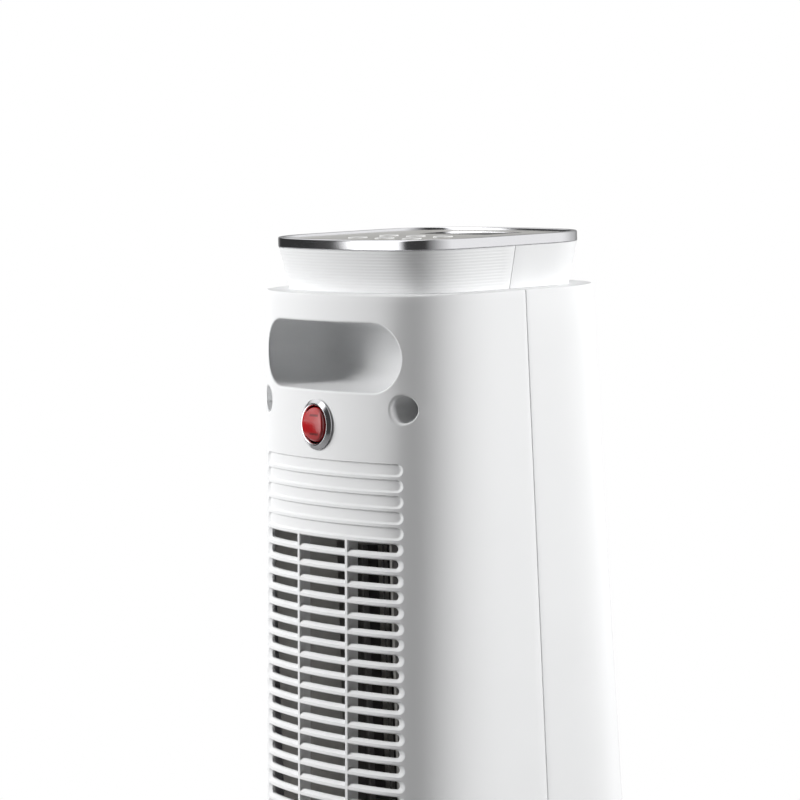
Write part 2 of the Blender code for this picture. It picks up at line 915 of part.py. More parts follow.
def make_shell_screw(name, place):
    x, height = place
    head = (x, recess_floor_offset + seat, height)
    screw = rod(name, screw_head_radius, head, (x, head[1] + screw_head_height, height), steel)
    tip = (x, boss_end_y - screw_bite + 2 * seat, height)
    join(screw, rod(name + "_shank", screw_shank_radius, tip, (x, head[1] + seat, height), None, small_sides))
    return screw


def cover_profile():
    """The base cover from its turntable opening out to its skirt, and back inside."""
    outer = [(hub_radius + seat, base_top), (base_flat_radius, base_top)]
    rise = base_top - base_skirt_top
    run = base_radius - base_flat_radius
    for step in range(1, base_shoulder_steps + 1):
        turn = math.radians(90) * step / base_shoulder_steps
        outer.append((base_flat_radius + run * math.sin(turn), base_skirt_top + rise * math.cos(turn)))
    outer.append((base_radius, plate_bottom))
    inner_run = run - cover_wall
    inner = [(base_radius - cover_wall, plate_bottom)]
    for step in range(base_shoulder_steps + 1):
        turn = math.radians(90) * (1 - step / base_shoulder_steps)
        height = base_skirt_top - cover_wall + rise * math.cos(turn)
        inner.append((base_flat_radius + inner_run * math.sin(turn), height))
    inner.append((hub_radius + seat, base_top - cover_wall))
    return outer + inner


def bush_hole_rod(name, radius, start_y, end_y):
    return rod(name, radius, (0, start_y, bush_height), (0, end_y, bush_height))


def make_base():
    cover = turned("base_cover", cover_profile(), white_shell, base_sides)
    cut(cover, bush_hole_rod("bush_hole", bush_body_radius + seat, base_radius - cover_wall - overrun,
                             base_radius + overrun))
    cut(cover, bush_hole_rod("bush_pocket", bush_flange_radius + seat, base_radius - bush_pocket_depth,
                             base_radius + overrun))
    shoulder = base_top - cover_wall - seat
    rim_radius = base_radius - cover_wall - seat
    plate = turned("base_plate", [(rim_radius, plate_top), (rim_radius, plate_bottom), (0, plate_bottom),
                                  (0, plate_top), (hub_bore_radius, plate_top), (hub_bore_radius, hub_top),
                                  (hub_radius, hub_top), (hub_radius, shoulder),
                                  (hub_shoulder_radius, shoulder), (hub_shoulder_radius, plate_top)],
                   black_plastic, base_sides)
    cut(plate, rod("plunger_hole", plunger_radius + seat, (tip_x, 0, plate_bottom - overrun),
                   (tip_x, 0, plate_top + overrun), None, small_sides))
    for side in (-1, 1):
        y = side * gear_screw_y
        cut(plate, rod(f"hub_hole_{side}", screw_shank_radius + screw_hole_gap, (0, y, hub_top - screw_bite),
                       (0, y, hub_top + overrun), None, small_sides))
    turned("swing_washer", [(washer_outer_radius, base_top + seat + washer_thickness),
                            (washer_outer_radius, base_top + seat),
                            (washer_inner_radius, base_top + seat),
                            (washer_inner_radius, base_top + seat + washer_thickness)], nylon)
    for number in range(foot_count):
        turn = math.radians(360) * (number + half_share) / foot_count
        x = foot_circle_radius * math.cos(turn)
        y = foot_circle_radius * math.sin(turn)
        rod(f"foot_{number + 1}", foot_radius, (x, y, 0), (x, y, foot_height), rubber)
    make_bush()


def make_bush():
    """A flanged rubber bush for the cord, seated in the skirt of the base."""
    inside = base_radius - cover_wall - bush_inside
    flange = base_radius - bush_pocket_depth + seat
    outside = flange + bush_flange_thickness
    bush = turned("cord_inlet_bush", [(bush_flange_radius, outside), (bush_flange_radius, flange),
                                      (bush_body_radius, flange), (bush_body_radius, inside),
                                      (bush_bore_radius, inside), (bush_bore_radius, outside)], rubber)
    bush.location = (0, 0, bush_height)
    bush.rotation_euler = (math.radians(-90), 0, 0)
    return bush


def make_tip_switch(holder):
    low = plate_top + seat
    half = tip_body_half_width
    body = box("tip_switch_body", (tip_x - half, -half, low), (tip_x + half, half, low + tip_body_height),
               black_plastic)
    cut(body, rod("tip_cavity", plunger_collar_radius + seat, (tip_x, 0, low - overrun),
                  (tip_x, 0, low + tip_cavity_height)))
    collar = low + plunger_travel
    profile = [(0, plunger_height), (plunger_radius, plunger_height),
               (plunger_radius, collar + plunger_collar_thickness),
               (plunger_collar_radius, collar + plunger_collar_thickness),
               (plunger_collar_radius, collar), (plunger_radius, collar),
               (plunger_radius, plunger_floor_gap), (0, plunger_floor_gap)]
    plunger = turned("tip_plunger", profile, nylon)
    plunger.parent = holder
    return plunger


def tooth(teeth, centre_turn):
    """One gear tooth: involute flanks between its root and its tip."""
    pitch = half_share * teeth * gear_module
    base = pitch * math.cos(math.radians(pressure_angle))
    root = pitch - tooth_dedendum_share * gear_module
    tip = pitch + tooth_addendum_share * gear_module
    involute_at_pitch = math.tan(math.radians(pressure_angle)) - math.radians(pressure_angle)
    half_at_pitch = math.radians(90) / teeth - tooth_thinning * half_share / pitch
    start = max(base, root)
    side = [(root, half_at_pitch + involute_at_pitch)] if root < base else []
    for step in range(flank_steps + 1):
        radius = start + (tip - start) * step / flank_steps
        slope = math.acos(min(1.0, base / radius))
        side.append((radius, half_at_pitch + involute_at_pitch - (math.tan(slope) - slope)))
    points = [(radius, centre_turn - half) for radius, half in side]
    points += [(radius, centre_turn + half) for radius, half in reversed(side)]
    return [(radius * math.cos(turn), radius * math.sin(turn)) for radius, turn in points]


def ring_loop():
    """Teeth over the swinging sector, and a plain round rim over the rest."""
    step = math.radians(360) / ring_teeth
    reach = int(math.radians(ring_half_sector) / step)
    loop = []
    for number in range(-reach, reach + 1):
        loop += tooth(ring_teeth, number * step)
    root = ring_pitch_radius - tooth_dedendum_share * gear_module
    for number in range(reach + 1, ring_teeth - reach):
        loop.append((root * math.cos(number * step), root * math.sin(number * step)))
    return loop


def circle(radius, sides, x=0, y=0):
    turns = [math.radians(360) * i / sides for i in range(sides)]
    return [(x + radius * math.cos(turn), y + radius * math.sin(turn)) for turn in turns]


def make_ring_gear():
    screw_hole = screw_shank_radius + screw_hole_gap
    loops = [ring_loop(), circle(hub_bore_radius, round_sides)]
    loops += [circle(screw_hole, small_sides, 0, side * gear_screw_y) for side in (-1, 1)]
    gear = flat_piece("ring_gear", loops, gear_bottom, gear_top, nylon)
    for number, side in enumerate((-1, 1), 1):
        y = side * gear_screw_y
        screw = rod(f"gear_screw_{number}", screw_head_radius, (0, y, gear_top + seat),
                    (0, y, gear_top + seat + screw_head_height), steel)
        tip = (0, y, hub_top - screw_bite + 2 * seat)
        head = (0, y, gear_top + 2 * seat)
        join(screw, rod(f"gear_screw_shank_{number}", screw_shank_radius, tip, head, None, small_sides))
    return gear


def make_pinion(holder):
    """The pinion on the swing motor's shaft, turned half a tooth so that it meshes at rest."""
    half_tooth = math.radians(180) / pinion_teeth
    loop = []
    for number in range(pinion_teeth):
        loop += tooth(pinion_teeth, half_tooth + number * 2 * half_tooth)
    pinion = flat_piece("swing_pinion", [loop], pinion_bottom, pinion_top, nylon)
    shaft = rod("pinion_shaft", pinion_shaft_radius, (0, 0, pinion_top - seat),
                (0, 0, pinion_top + pinion_shaft_length), None, small_sides)
    shaft.parent = holder
    join(pinion, shaft)
    pinion.parent = holder
    return pinion


def make_swing_motor():
    low = swing_motor_bottom
    motor = rod("swing_motor", swing_motor_radius, (pinion_x, 0, low),
                (pinion_x, 0, low + swing_motor_height), galvanised)
    ears = box("motor_ears", (pinion_x - ear_half_width, -ear_half_span, low),
               (pinion_x + ear_half_width, ear_half_span, low + ear_thickness))
    join(motor, ears)
    cut(motor, rod("motor_bore", pinion_shaft_radius + running_gap, (pinion_x, 0, low - overrun),
                   (pinion_x, 0, pinion_top + pinion_shaft_length + seat), None, small_sides))
    return motor


def make_tower_floor():
    floor = tower_solid("tower_floor", wall + seat, floor_bottom, floor_top, black_plastic)
    for side in (-1, 1):
        y = side * motor_post_y
        join(floor, rod(f"floor_post_{side}", motor_post_radius, (pinion_x, y, floor_bottom + seat),
                        (pinion_x, y, swing_motor_bottom - seat), None, small_sides))
    cut(floor, rod("hub_opening", hub_radius + seat, (0, 0, floor_bottom - overrun),
                   (0, 0, floor_top + overrun)))
    return floor


def polar(radius, degrees):
    turn = math.radians(degrees)
    return fan_x + radius * math.cos(turn), fan_y + radius * math.sin(turn)


def ribbon(path, thickness):
    """A bent strip of sheet: the path offset to both sides, with square ends."""
    left = []
    right = []
    for i, point in enumerate(path):
        before = Vector(path[max(i - 1, 0)])
        after = Vector(path[min(i + 1, len(path) - 1)])
        along = (after - before).normalized()
        side = Vector((-along.y, along.x)) * thickness * half_share
        left.append(tuple(Vector(point) + side))
        right.append(tuple(Vector(point) - side))
    return left + right[::-1]


def make_fan_casing():
    """The scroll behind the fan wheel and the cut-off wall on its other side."""
    low = lower_plate_top + seat
    high = upper_plate_height - seat
    near = fan_radius + casing_clearance
    duct_x = frame_half_width - frame_side * half_share
    scroll = [(casing_lip_x, casing_lip_y)]
    for step in range(casing_steps + 1):
        share = step / casing_steps
        angle = casing_start_angle + (casing_end_angle - casing_start_angle) * share
        scroll.append(polar(near + casing_growth * share, angle))
    scroll.append((duct_x, frame_back + seat + casing_straight))
    scroll.append((duct_x, frame_back + seat))
    flat_piece("fan_housing", [ribbon(scroll, casing_thickness)], low, high, grey_casing)
    cutoff = [(-duct_x, frame_back + seat), (-duct_x, frame_back + seat + casing_straight),
              polar(near, cutoff_angle), (cutoff_bend_x, fan_y), (cutoff_lip_x, cutoff_lip_bend_y),
              (cutoff_lip_x, casing_lip_y)]
    flat_piece("fan_cutoff", [ribbon(cutoff, casing_thickness)], low, high, grey_casing)


def duct_plate(name, low):
    """A plate across the tower above or below the fan, seated between the shells' sides."""
    high = low + duct_plate_thickness
    plate = tower_solid(name, wall + seat, low, high, galvanised)
    reach = half_depth(low) + overrun
    foot = low - overrun
    head = high + overrun
    cut(plate, box(name + "_front", (-reach, -reach, foot), (reach, duct_plate_front, head)))
    cut(plate, box(name + "_rear", (-reach, duct_plate_rear, foot), (reach, reach, head)))
    return plate


def make_duct_plates():
    lower = duct_plate("fan_bottom_plate", lower_plate_height)
    rows = (fan_y + stator_front + duct_post_radius, fan_y + stator_rear - duct_post_radius)
    places = [(fan_x + x, y) for x in (-duct_post_x, duct_post_x) for y in rows]
    for number, (x, y) in enumerate(places):
        foot = (x, y, stator_top + seat)
        head = (x, y, lower_plate_height + seat)
        join(lower, rod(f"duct_post_{number}", duct_post_radius, foot, head, None, small_sides))
    cut(lower, rod("lower_shaft_hole", bracket_cup_radius + running_gap,
                   (fan_x, fan_y, lower_plate_height - overrun), (fan_x, fan_y, lower_plate_top + overrun)))
    upper = duct_plate("fan_top_plate", upper_plate_height)
    cut(upper, rod("bearing_hole", bearing_radius, (fan_x, fan_y, upper_plate_height - overrun),
                   (fan_x, fan_y, upper_plate_top + overrun)))
    low = upper_plate_height - seat
    bearing = turned("upper_bearing", [
        (bearing_radius - seat, low + bearing_height), (bearing_radius - seat, low),
        (shaft_radius + running_gap, low), (shaft_radius + running_gap, low + bearing_height)], nylon)
    bearing.location = (fan_x, fan_y, 0)


def make_fan_wheel(holder):
    """A cross-flow wheel: three discs and slanted blades, on a hub at each end."""
    wheel = rod("fan_wheel", fan_radius, (0, 0, wheel_bottom), (0, 0, wheel_bottom + fan_disc_thickness),
                black_plastic)
    middle = (wheel_bottom + wheel_top) * half_share
    blade_cells = []
    for number in range(fan_blades):
        turn = math.radians(360) * number / fan_blades
        lean = math.radians(fan_blade_twist)
        inner = Vector((blade_inner_radius * math.cos(turn), blade_inner_radius * math.sin(turn)))
        length = fan_radius - blade_inner_radius - fan_blade_tip_inset
        outer = inner + Vector((math.cos(turn + lean), math.sin(turn + lean))) * length
        low = wheel_bottom + fan_disc_thickness * half_share
        high = wheel_top - fan_disc_thickness * half_share
        loop = ribbon([tuple(inner), tuple(outer)], fan_blade_thickness)
        blade_cells.append(flat_piece(f"fan_blade_{number}", [loop], low, high))
    blades = joined("fan_blades", blade_cells)
    disc = rod("fan_disc_top", fan_radius, (0, 0, wheel_top - fan_disc_thickness), (0, 0, wheel_top))
    hoop_low = middle - fan_disc_thickness * half_share
    hoop_high = middle + fan_disc_thickness * half_share
    hoop_inner = blade_inner_radius - fan_hoop_overlap
    hoop = turned("fan_disc_middle", [(fan_radius, hoop_high), (fan_radius, hoop_low), (hoop_inner, hoop_low),
                                      (hoop_inner, hoop_high)])
    bore = rod("fan_bore", shaft_radius + seat, (0, 0, wheel_bottom - overrun),
               (0, 0, wheel_top + overrun), None, small_sides)
    for cutter in (blades, disc, hoop, bore):
        cutter.parent = holder
    join(wheel, blades, disc, hoop)
    cut(wheel, bore)
    wheel.parent = holder
    return wheel


def make_fan_shaft(holder):
    top = upper_plate_height + bearing_height
    shaft = rod("fan_shaft", shaft_radius, (0, 0, shaft_bottom), (0, 0, top), steel)
    shaft.parent = holder
    rotor_low = (stator_top + stator_bottom - rotor_height) * half_share
    rotor = turned("motor_rotor", [
        (rotor_radius, rotor_low + rotor_height), (rotor_radius, rotor_low),
        (shaft_radius + seat, rotor_low), (shaft_radius + seat, rotor_low + rotor_height)], aluminium)
    rotor.parent = holder
    return shaft


def make_fan_motor():
    """A shaded-pole motor: laminations with a bore and a window, a coil on the rear leg."""
    window_half = coil_half_width + window_clearance
    window_low = stator_rear - leg_depth - seat - coil_build - window_clearance
    outer = [(-stator_half_width, stator_front), (stator_half_width, stator_front),
             (stator_half_width, stator_rear), (-stator_half_width, stator_rear)]
    window = [(-window_half, window_low), (window_half, window_low),
              (window_half, stator_rear - leg_depth), (-window_half, stator_rear - leg_depth)]
    shift = [(fan_x + x, fan_y + y) for x, y in outer]
    window = [(fan_x + x, fan_y + y) for x, y in window]
    flat_piece("motor_stator", [shift, window, circle(stator_bore_radius, round_sides, fan_x, fan_y)],
               stator_bottom, stator_top, galvanised)
    leg_front = fan_y + stator_rear - leg_depth - seat
    leg_rear = fan_y + stator_rear + seat
    leg_low = stator_bottom - seat
    leg_high = stator_top + seat
    coil = box("motor_coil", (fan_x - coil_half_width, leg_front - coil_build, leg_low - coil_build),
               (fan_x + coil_half_width, leg_rear + coil_build, leg_high + coil_build), copper)
    cut(coil, box("coil_leg", (fan_x - coil_half_width - overrun, leg_front, leg_low),
                  (fan_x + coil_half_width + overrun, leg_rear, leg_high)))
    for name, face, way in (("motor_bracket_upper", stator_top + seat, 1),
                            ("motor_bracket_lower", stator_bottom - seat, -1)):
        far = face + way * bracket_thickness
        bracket = box(name, (fan_x - bracket_half_width, fan_y - bracket_half_depth, min(face, far)),
                      (fan_x + bracket_half_width, fan_y + bracket_half_depth, max(face, far)), steel)
        join(bracket, rod(name + "_cup", bracket_cup_radius, (fan_x, fan_y, face + way * seat),
                          (fan_x, fan_y, far + way * bracket_cup_height)))
        cut(bracket, rod(name + "_bore", shaft_radius + running_gap, (fan_x, fan_y, face - way * overrun),
                         (fan_x, fan_y, far + way * (bracket_cup_height + overrun))))
        rise = rotor_height - stator_thickness
        relief = face + way * rise * half_share
        cut(bracket, rod(name + "_relief", rotor_radius + seat, (fan_x, fan_y, face - way * overrun),
                         (fan_x, fan_y, relief)))


def make_heater():
    low = lower_plate_top + seat
    high = upper_plate_height - seat
    frame = box("heater_frame", (-frame_half_width, frame_front, low), (frame_half_width, frame_back, high),
                ceramic)
    inner_half = frame_half_width - frame_side
    cut(frame, box("heater_window", (-inner_half, frame_front - overrun, low + frame_end),
                   (inner_half, frame_back + overrun, high - frame_end)))
    middle = (frame_back + frame_front) * half_share
    front = middle - core_depth * half_share
    rear = middle + core_depth * half_share
    core_low = low + frame_end + seat
    core_high = high - frame_end - seat
    box("ptc_strip", (-strip_half_width, front, core_low), (strip_half_width, rear, core_high), ceramic)
    for name, side in (("heater_fins_left", -1), ("heater_fins_right", 1)):
        near = side * (strip_half_width + seat)
        far = side * (inner_half - seat)
        fins = box(name, (min(near, far), front, core_low), (max(near, far), rear, core_high), aluminium)
        pitch = (core_high - core_low - fin_thickness) / fin_rows
        gaps = []
        for row in range(fin_rows):
            gap_low = core_low + fin_thickness + row * pitch
            gaps.append(box(f"{name}_gap_{row}", (min(near, far) + fin_margin, front - overrun, gap_low),
                            (max(near, far) - fin_margin, rear + overrun, gap_low + pitch - fin_thickness)))
        cut(fins, joined(name + "_gaps", gaps))
    foot = upper_plate_top + seat
    rod("thermal_cutout", cutout_radius, (cutout_x, cutout_y, foot),
        (cutout_x, cutout_y, foot + cutout_height), black_plastic)


def make_power_board():
    foot = power_board_foot
    rear = power_board_y + board_thickness
    box("power_board", (-power_board_half_width, power_board_y, foot),
        (power_board_half_width, rear, foot + power_board_height), board_green)
    relay_foot = foot + relay_above_board_foot
    for number, side in enumerate((-1, 1), 1):
        x = side * relay_x
        box(f"relay_{number}", (x - relay_width * half_share, rear + seat, relay_foot),
            (x + relay_width * half_share, rear + seat + relay_depth, relay_foot + relay_height), relay_blue)
    block_foot = foot + terminal_above_board_foot
    box("terminal_block", (-terminal_half_width, rear + seat, block_foot),
        (terminal_half_width, rear + seat + terminal_depth, block_foot + terminal_height), nylon)


def build():
    make_base()
    make_ring_gear()
    make_tip_switch(empty("tip_plunger_axis", (tip_x, 0, 0)))
    tower = empty("tower_axis", (0, 0, 0))
    make_tower_floor()
    make_swing_motor()
    pinion_axis = empty("swing_pinion_axis", (pinion_x, 0, 0))
    make_pinion(pinion_axis)
    make_rear_shell()
    make_front_shell()
    make_front_grille()
    make_collar("collar_rear", 1)
    make_collar("collar_front", -1)
    make_top_rim()
    make_control_panel()
    window_box("display_window", 0, panel_top - window_thickness, panel_top, dark_window)
    module_low = board_top + seat
    window_box("display_module", -window_step, module_low, module_low + module_height, black_plastic)
    make_control_board()
    for number, name in enumerate(button_names):
        make_button(name, number).parent = tower
    switch_height = ledge_height - switch_drop
    lean = math.atan(depth_growth_share)
    outward = (math.radians(-90) + lean, 0, 0)
    switch_seat = (switch_x, rear_face(switch_x, switch_height), switch_height)
    switch_axis = empty("switch_axis", switch_seat, outward)
    make_switch(switch_axis)
    rocker_pivot = empty("rocker_pivot", (0, 0, bezel_proud - pivot_below_bezel))
    rocker_pivot.parent = switch_axis
    make_rocker(rocker_pivot)
    hole = rod("switch_hole", switch_body_radius + seat, (0, 0, -switch_body_depth), (0, 0, overrun))
    hole.parent = switch_axis
    cut(bpy.data.objects["rear_shell"], hole)
    for number, place in enumerate(screw_places, 1):
        make_shell_screw(f"shell_screw_{number}", place)
    make_fan_casing()
    make_duct_plates()
    fan_axis = empty("fan_axis", (fan_x, fan_y, 0))
    make_fan_wheel(fan_axis)
    make_fan_shaft(fan_axis)
    make_fan_motor()
    make_heater()
    make_power_board()
    ride_on_tower(tower, (fan_axis, pinion_axis, switch_axis))


base_pieces = ("base_cover", "base_plate", "swing_washer", "foot_1", "foot_2", "foot_3", "foot_4",
               "cord_inlet_bush", "ring_gear", "gear_screw_1", "gear_screw_2", "tip_switch_body",
               "tip_plunger_axis")


def ride_on_tower(tower, axes):
    """Parent all that swings with the tower to its axis, which is the origin's vertical."""
    for holder in axes:
        holder.parent = tower
    for made in parts.objects:
        if made.parent is None and made is not tower and made.name not in base_pieces:
            made.parent = tower


build()
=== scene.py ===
"""The looks of a tower fan heater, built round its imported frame: mouldings, finishes, lamps and camera."""
import math
from bisect import bisect_right

import bmesh
import bpy
from mathutils import Matrix, Vector
from mathutils.geometry import delaunay_2d_cdt


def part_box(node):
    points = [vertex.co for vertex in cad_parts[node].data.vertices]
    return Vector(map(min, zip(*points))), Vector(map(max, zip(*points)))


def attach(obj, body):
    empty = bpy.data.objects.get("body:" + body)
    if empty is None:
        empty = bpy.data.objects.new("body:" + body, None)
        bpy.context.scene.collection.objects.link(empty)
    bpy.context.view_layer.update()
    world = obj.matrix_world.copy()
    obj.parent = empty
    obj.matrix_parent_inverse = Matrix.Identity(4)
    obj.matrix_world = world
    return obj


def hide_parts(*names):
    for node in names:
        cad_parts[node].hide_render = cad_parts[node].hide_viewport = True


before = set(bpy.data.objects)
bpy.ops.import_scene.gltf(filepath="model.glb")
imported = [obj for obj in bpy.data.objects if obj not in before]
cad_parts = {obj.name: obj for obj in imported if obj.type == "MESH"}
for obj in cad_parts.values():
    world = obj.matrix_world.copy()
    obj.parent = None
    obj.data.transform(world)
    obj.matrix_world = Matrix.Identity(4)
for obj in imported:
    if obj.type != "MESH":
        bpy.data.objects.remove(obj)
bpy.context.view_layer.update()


# Black mouldings: the base plate, a disc with the hub that the tower swings on, is screwed up into the cover.
# The tip-over switch, the tower's floor, the display's case and the thermal cut-out are black as well.
class Signal:
    """A shader socket that takes part in sums: each operator adds its Math node."""

    def __init__(self, nodes, socket):
        self.nodes = nodes
        self.socket = socket

    def maths(self, operation, *values):
        return self.nodes.node("ShaderNodeMath", {"operation": operation}, dict(enumerate(values)))

    def __add__(self, other):
        return self.maths("ADD", self, other)

    def __sub__(self, other):
        return self.maths("SUBTRACT", self, other)

    def __rsub__(self, other):
        return self.maths("SUBTRACT", other, self)

    def __mul__(self, other):
        return self.maths("MULTIPLY", self, other)

    def __lt__(self, other):
        return self.maths("LESS_THAN", self, other)

    def __abs__(self):
        return self.maths("ABSOLUTE", self)

    __radd__ = __add__
    __rmul__ = __mul__


class Nodes:
    """A node tree that takes values and signals alike."""

    def __init__(self, tree):
        self.tree = tree

    def feed(self, socket, value):
        if isinstance(value, Signal):
            self.tree.links.new(value.socket, socket)
        else:
            socket.default_value = value

    def node(self, kind, settings, sockets, out=0):
        made = self.tree.nodes.new(kind)
        for name, value in settings.items():
            if name == "stops":
                for stop in range(2, len(value)):
                    made.color_ramp.elements.new(stop / len(value))
                for element, (place, level) in zip(made.color_ramp.elements, value):
                    element.position = place
                    element.color = (level, level, level, 1.0)
            else:
                setattr(made, name, value)
        for name, value in sockets.items():
            self.feed(made.inputs[name], value)
        return Signal(self, made.outputs[out])


class Finish(Nodes):
    """A surface finish round one Principled shader."""

    def __init__(self, name, colour, roughness, metallic=0.0, fixed=None):
        self.material = bpy.data.materials.new(name)
        self.material.use_nodes = True
        super().__init__(self.material.node_tree)
        self.shader = self.tree.nodes["Principled BSDF"]
        self.colour = (*colour, 1.0)
        values = {"Base Color": self.colour, "Roughness": roughness, "Metallic": metallic, **(fixed or {})}
        for socket, value in values.items():
            self.set(socket, value)

    def set(self, socket, value):
        self.feed(self.shader.inputs[socket], value)

    def place(self):
        return self.node("ShaderNodeTexCoord", {}, {}, "Object")

    def noise(self, size, detail=2.0, stretch=(1, 1, 1)):
        spread = self.node("ShaderNodeVectorMath", {"operation": "MULTIPLY"}, {0: self.place(), 1: stretch})
        return self.node("ShaderNodeTexNoise", {}, {"Vector": spread, "Scale": 1 / size, "Detail": detail})

    def shade(self, amount, darker):
        """Mix the base colour towards a darker one by an amount that changes over the surface."""
        deep = (*(channel * darker for channel in self.colour[:3]), 1.0)
        mixed = self.node("ShaderNodeMix", {"data_type": "RGBA"}, {0: amount, 6: self.colour, 7: deep}, 2)
        self.set("Base Color", mixed)

    def bump(self, height, distance):
        self.set("Normal", self.node("ShaderNodeBump", {}, {"Height": height, "Distance": distance}))


def moulded(name, colour, roughness, grain=0.00002, grain_size=0.0005, fixed=None):
    """Injection-moulded plastic: a spark-eroded grain, with cloudy gloss and colour."""
    cloud_size = 0.03
    finish = Finish(name, colour, roughness, 0.0, fixed)
    cloud = finish.noise(cloud_size, 3.0)
    fine = finish.noise(grain_size)
    finish.set("Roughness", roughness + (cloud - 0.5) * 0.08 + (fine - 0.5) * 0.06)
    finish.shade(cloud, 0.975)
    finish.bump(fine, grain)
    return finish


def dress(nodes, finish):
    for node in nodes:
        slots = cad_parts[node].data.materials
        slots.clear()
        slots.append(finish.material)


dress(("base_plate", "tip_switch_body", "tower_floor", "display_module", "thermal_cutout"),
      moulded("black_moulding", (0.035, 0.035, 0.038), 0.5, 0.00004))


# Feet: four soft rubber pads pressed into the underside of the base plate.
# They are compression moulded and matt, with a rounded rim where they touch the floor.
def strip(shape, first, second, closed=True):
    """Join two rows of points with faces; points that fall together give triangles or nothing."""
    for i in range(len(first) if closed else len(first) - 1):
        j = (i + 1) % len(first)
        corners = list(dict.fromkeys((first[i], first[j], second[j], second[i])))
        if len(corners) > 2:
            shape.faces.new(corners)


def chain(shape, rows, closed=True):
    for first, second in zip(rows, rows[1:]):
        strip(shape, first, second, closed)


def eased(profile, radii, steps=4):
    """Round the corners of a closed profile, each with the radius given for it."""
    rounded = []
    for i, corner in enumerate(profile):
        here = Vector(corner)
        if not radii[i]:
            rounded.append(tuple(here))
            continue
        before = Vector(profile[i - 1]) - here
        after = Vector(profile[(i + 1) % len(profile)]) - here
        turn = math.pi - before.angle(after)
        reach = min(radii[i] * math.tan(turn / 2), before.length * 0.45, after.length * 0.45)
        start = here + before.normalized() * reach
        end = here + after.normalized() * reach
        for step in range(steps + 1):
            share = step / steps
            bend = start * (1 - share) ** 2 + here * 2 * share * (1 - share) + end * share ** 2
            rounded.append(tuple(bend))
    return rounded


def turned(profile, sides):
    """A closed profile of (radius, height) points turned about Z."""
    shape = bmesh.new()
    turns = [math.tau * i / sides for i in range(sides)]
    rows = []
    for radius, z in profile:
        if radius < 1e-7:
            rows.append([shape.verts.new((0, 0, z))] * sides)
        else:
            rows.append([shape.verts.new((radius * math.cos(t), radius * math.sin(t), z)) for t in turns])
    chain(shape, rows + rows[:1])
    return shape


def add(name, data):
    made = bpy.data.objects.new(name, data)
    bpy.context.scene.collection.objects.link(made)
    return made


def fit(name, shape, finish, body, nodes=(), place=Matrix.Identity(4)):
    """Turn a shape into a piece that rides on a body and stands for its CAD nodes."""
    sharp_angle = math.radians(38)
    bmesh.ops.recalc_face_normals(shape, faces=shape.faces)
    mesh = bpy.data.meshes.new(name)
    shape.to_mesh(mesh)
    shape.free()
    mesh.shade_smooth()
    mesh.set_sharp_from_angle(angle=sharp_angle)
    mesh.materials.append(finish.material)
    piece = add(name, mesh)
    piece.matrix_world = place
    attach(piece, body)
    if nodes:
        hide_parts(*nodes)


foot_rubber = moulded("foot_rubber", (0.03, 0.03, 0.03), 0.8, 0.00005, 0.0008)
foot_edge = 0.0012
foot_root = 0.0002
for number in range(1, 5):
    low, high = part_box(f"foot_{number}")
    foot_radius = (high.x - low.x) / 2
    profile = [(0, 0), (foot_radius, 0), (foot_radius, high.z), (0, high.z)]
    shape = turned(eased(profile, (0, foot_edge, foot_root, 0), 3), 40)
    place = Matrix.Translation(((low.x + high.x) / 2, (low.y + high.y) / 2, 0))
    fit(f"foot_pad_{number}", shape, foot_rubber, "base", [f"foot_{number}"], place)


# Nylon pieces, moulded and left natural: tip-over plunger, swing washer, ring gear, swing pinion, the fan's
# upper bearing and the terminal block. Zinc-plated screws hold the gear to the hub and the shells together.
dress(("tip_plunger", "swing_washer", "ring_gear", "swing_pinion", "upper_bearing", "terminal_block"),
      moulded("natural_nylon", (0.78, 0.77, 0.7), 0.42, fixed={
          "Subsurface Weight": 0.1, "Subsurface Radius": (0.002, 0.0018, 0.0014)}))


def brushed(name, colour, roughness, stretch):
    """Rolled or drawn metal: its fine lines run across the axis that is stretched most."""
    line_size = 0.004
    line_depth = 0.00001
    cloud_size = 0.02
    finish = Finish(name, colour, roughness, 1.0)
    lines = finish.noise(line_size, 4.0, stretch)
    cloud = finish.noise(cloud_size)
    finish.set("Roughness", roughness + (lines - 0.5) * 0.16 + (cloud - 0.5) * 0.1)
    finish.shade(cloud, 0.85)
    finish.bump(lines, line_depth)
    return finish


zinc_plate = brushed("zinc_plate", (0.62, 0.62, 0.64), 0.3, (1, 1, 9))
dress(("gear_screw_1", "gear_screw_2", "fan_shaft", "motor_bracket_upper", "motor_bracket_lower",
       "shell_screw_1", "shell_screw_2", "shell_screw_3", "shell_screw_4"), zinc_plate)


# Base cover: a round white dome of moulded ABS over the base plate, open in the middle for the hub.
# Its skirt falls straight to just above the floor, and the cord's rubber bush sits in the back of it.
def quarter_turns(steps):
    return [math.pi / 2 * i / steps for i in range(steps + 1)]


base_radius = 0.118
dome_top = 0.034
skirt_top = 0.020
skirt_edge = 0.0008
dome_flat = 0.060
dome_wall = 0.0025
hub_gap_radius = 0.0223
skirt_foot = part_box("base_cover")[0].z
inner_share = 1 - dome_wall / (base_radius - dome_flat)
outer = [(hub_gap_radius, dome_top)]
inner = [(hub_gap_radius, dome_top - dome_wall)]
for turn in quarter_turns(20):
    rise = (dome_top - skirt_top) * math.cos(turn)
    run = (base_radius - dome_flat) * math.sin(turn)
    outer.append((dome_flat + run, skirt_top + rise))
    inner.append((dome_flat + run * inner_share, skirt_top - dome_wall + rise))
skirt = [(base_radius, skirt_foot + skirt_edge), (base_radius - skirt_edge, skirt_foot),
         (base_radius - dome_wall, skirt_foot)]
white_shell = moulded("white_shell", (0.88, 0.885, 0.89), 0.42, 0.000012, 0.00045)
fit("base_dome", turned(outer + skirt + inner[::-1], 128), white_shell, "base", ["base_cover"])
dress(["cord_inlet_bush"], foot_rubber)


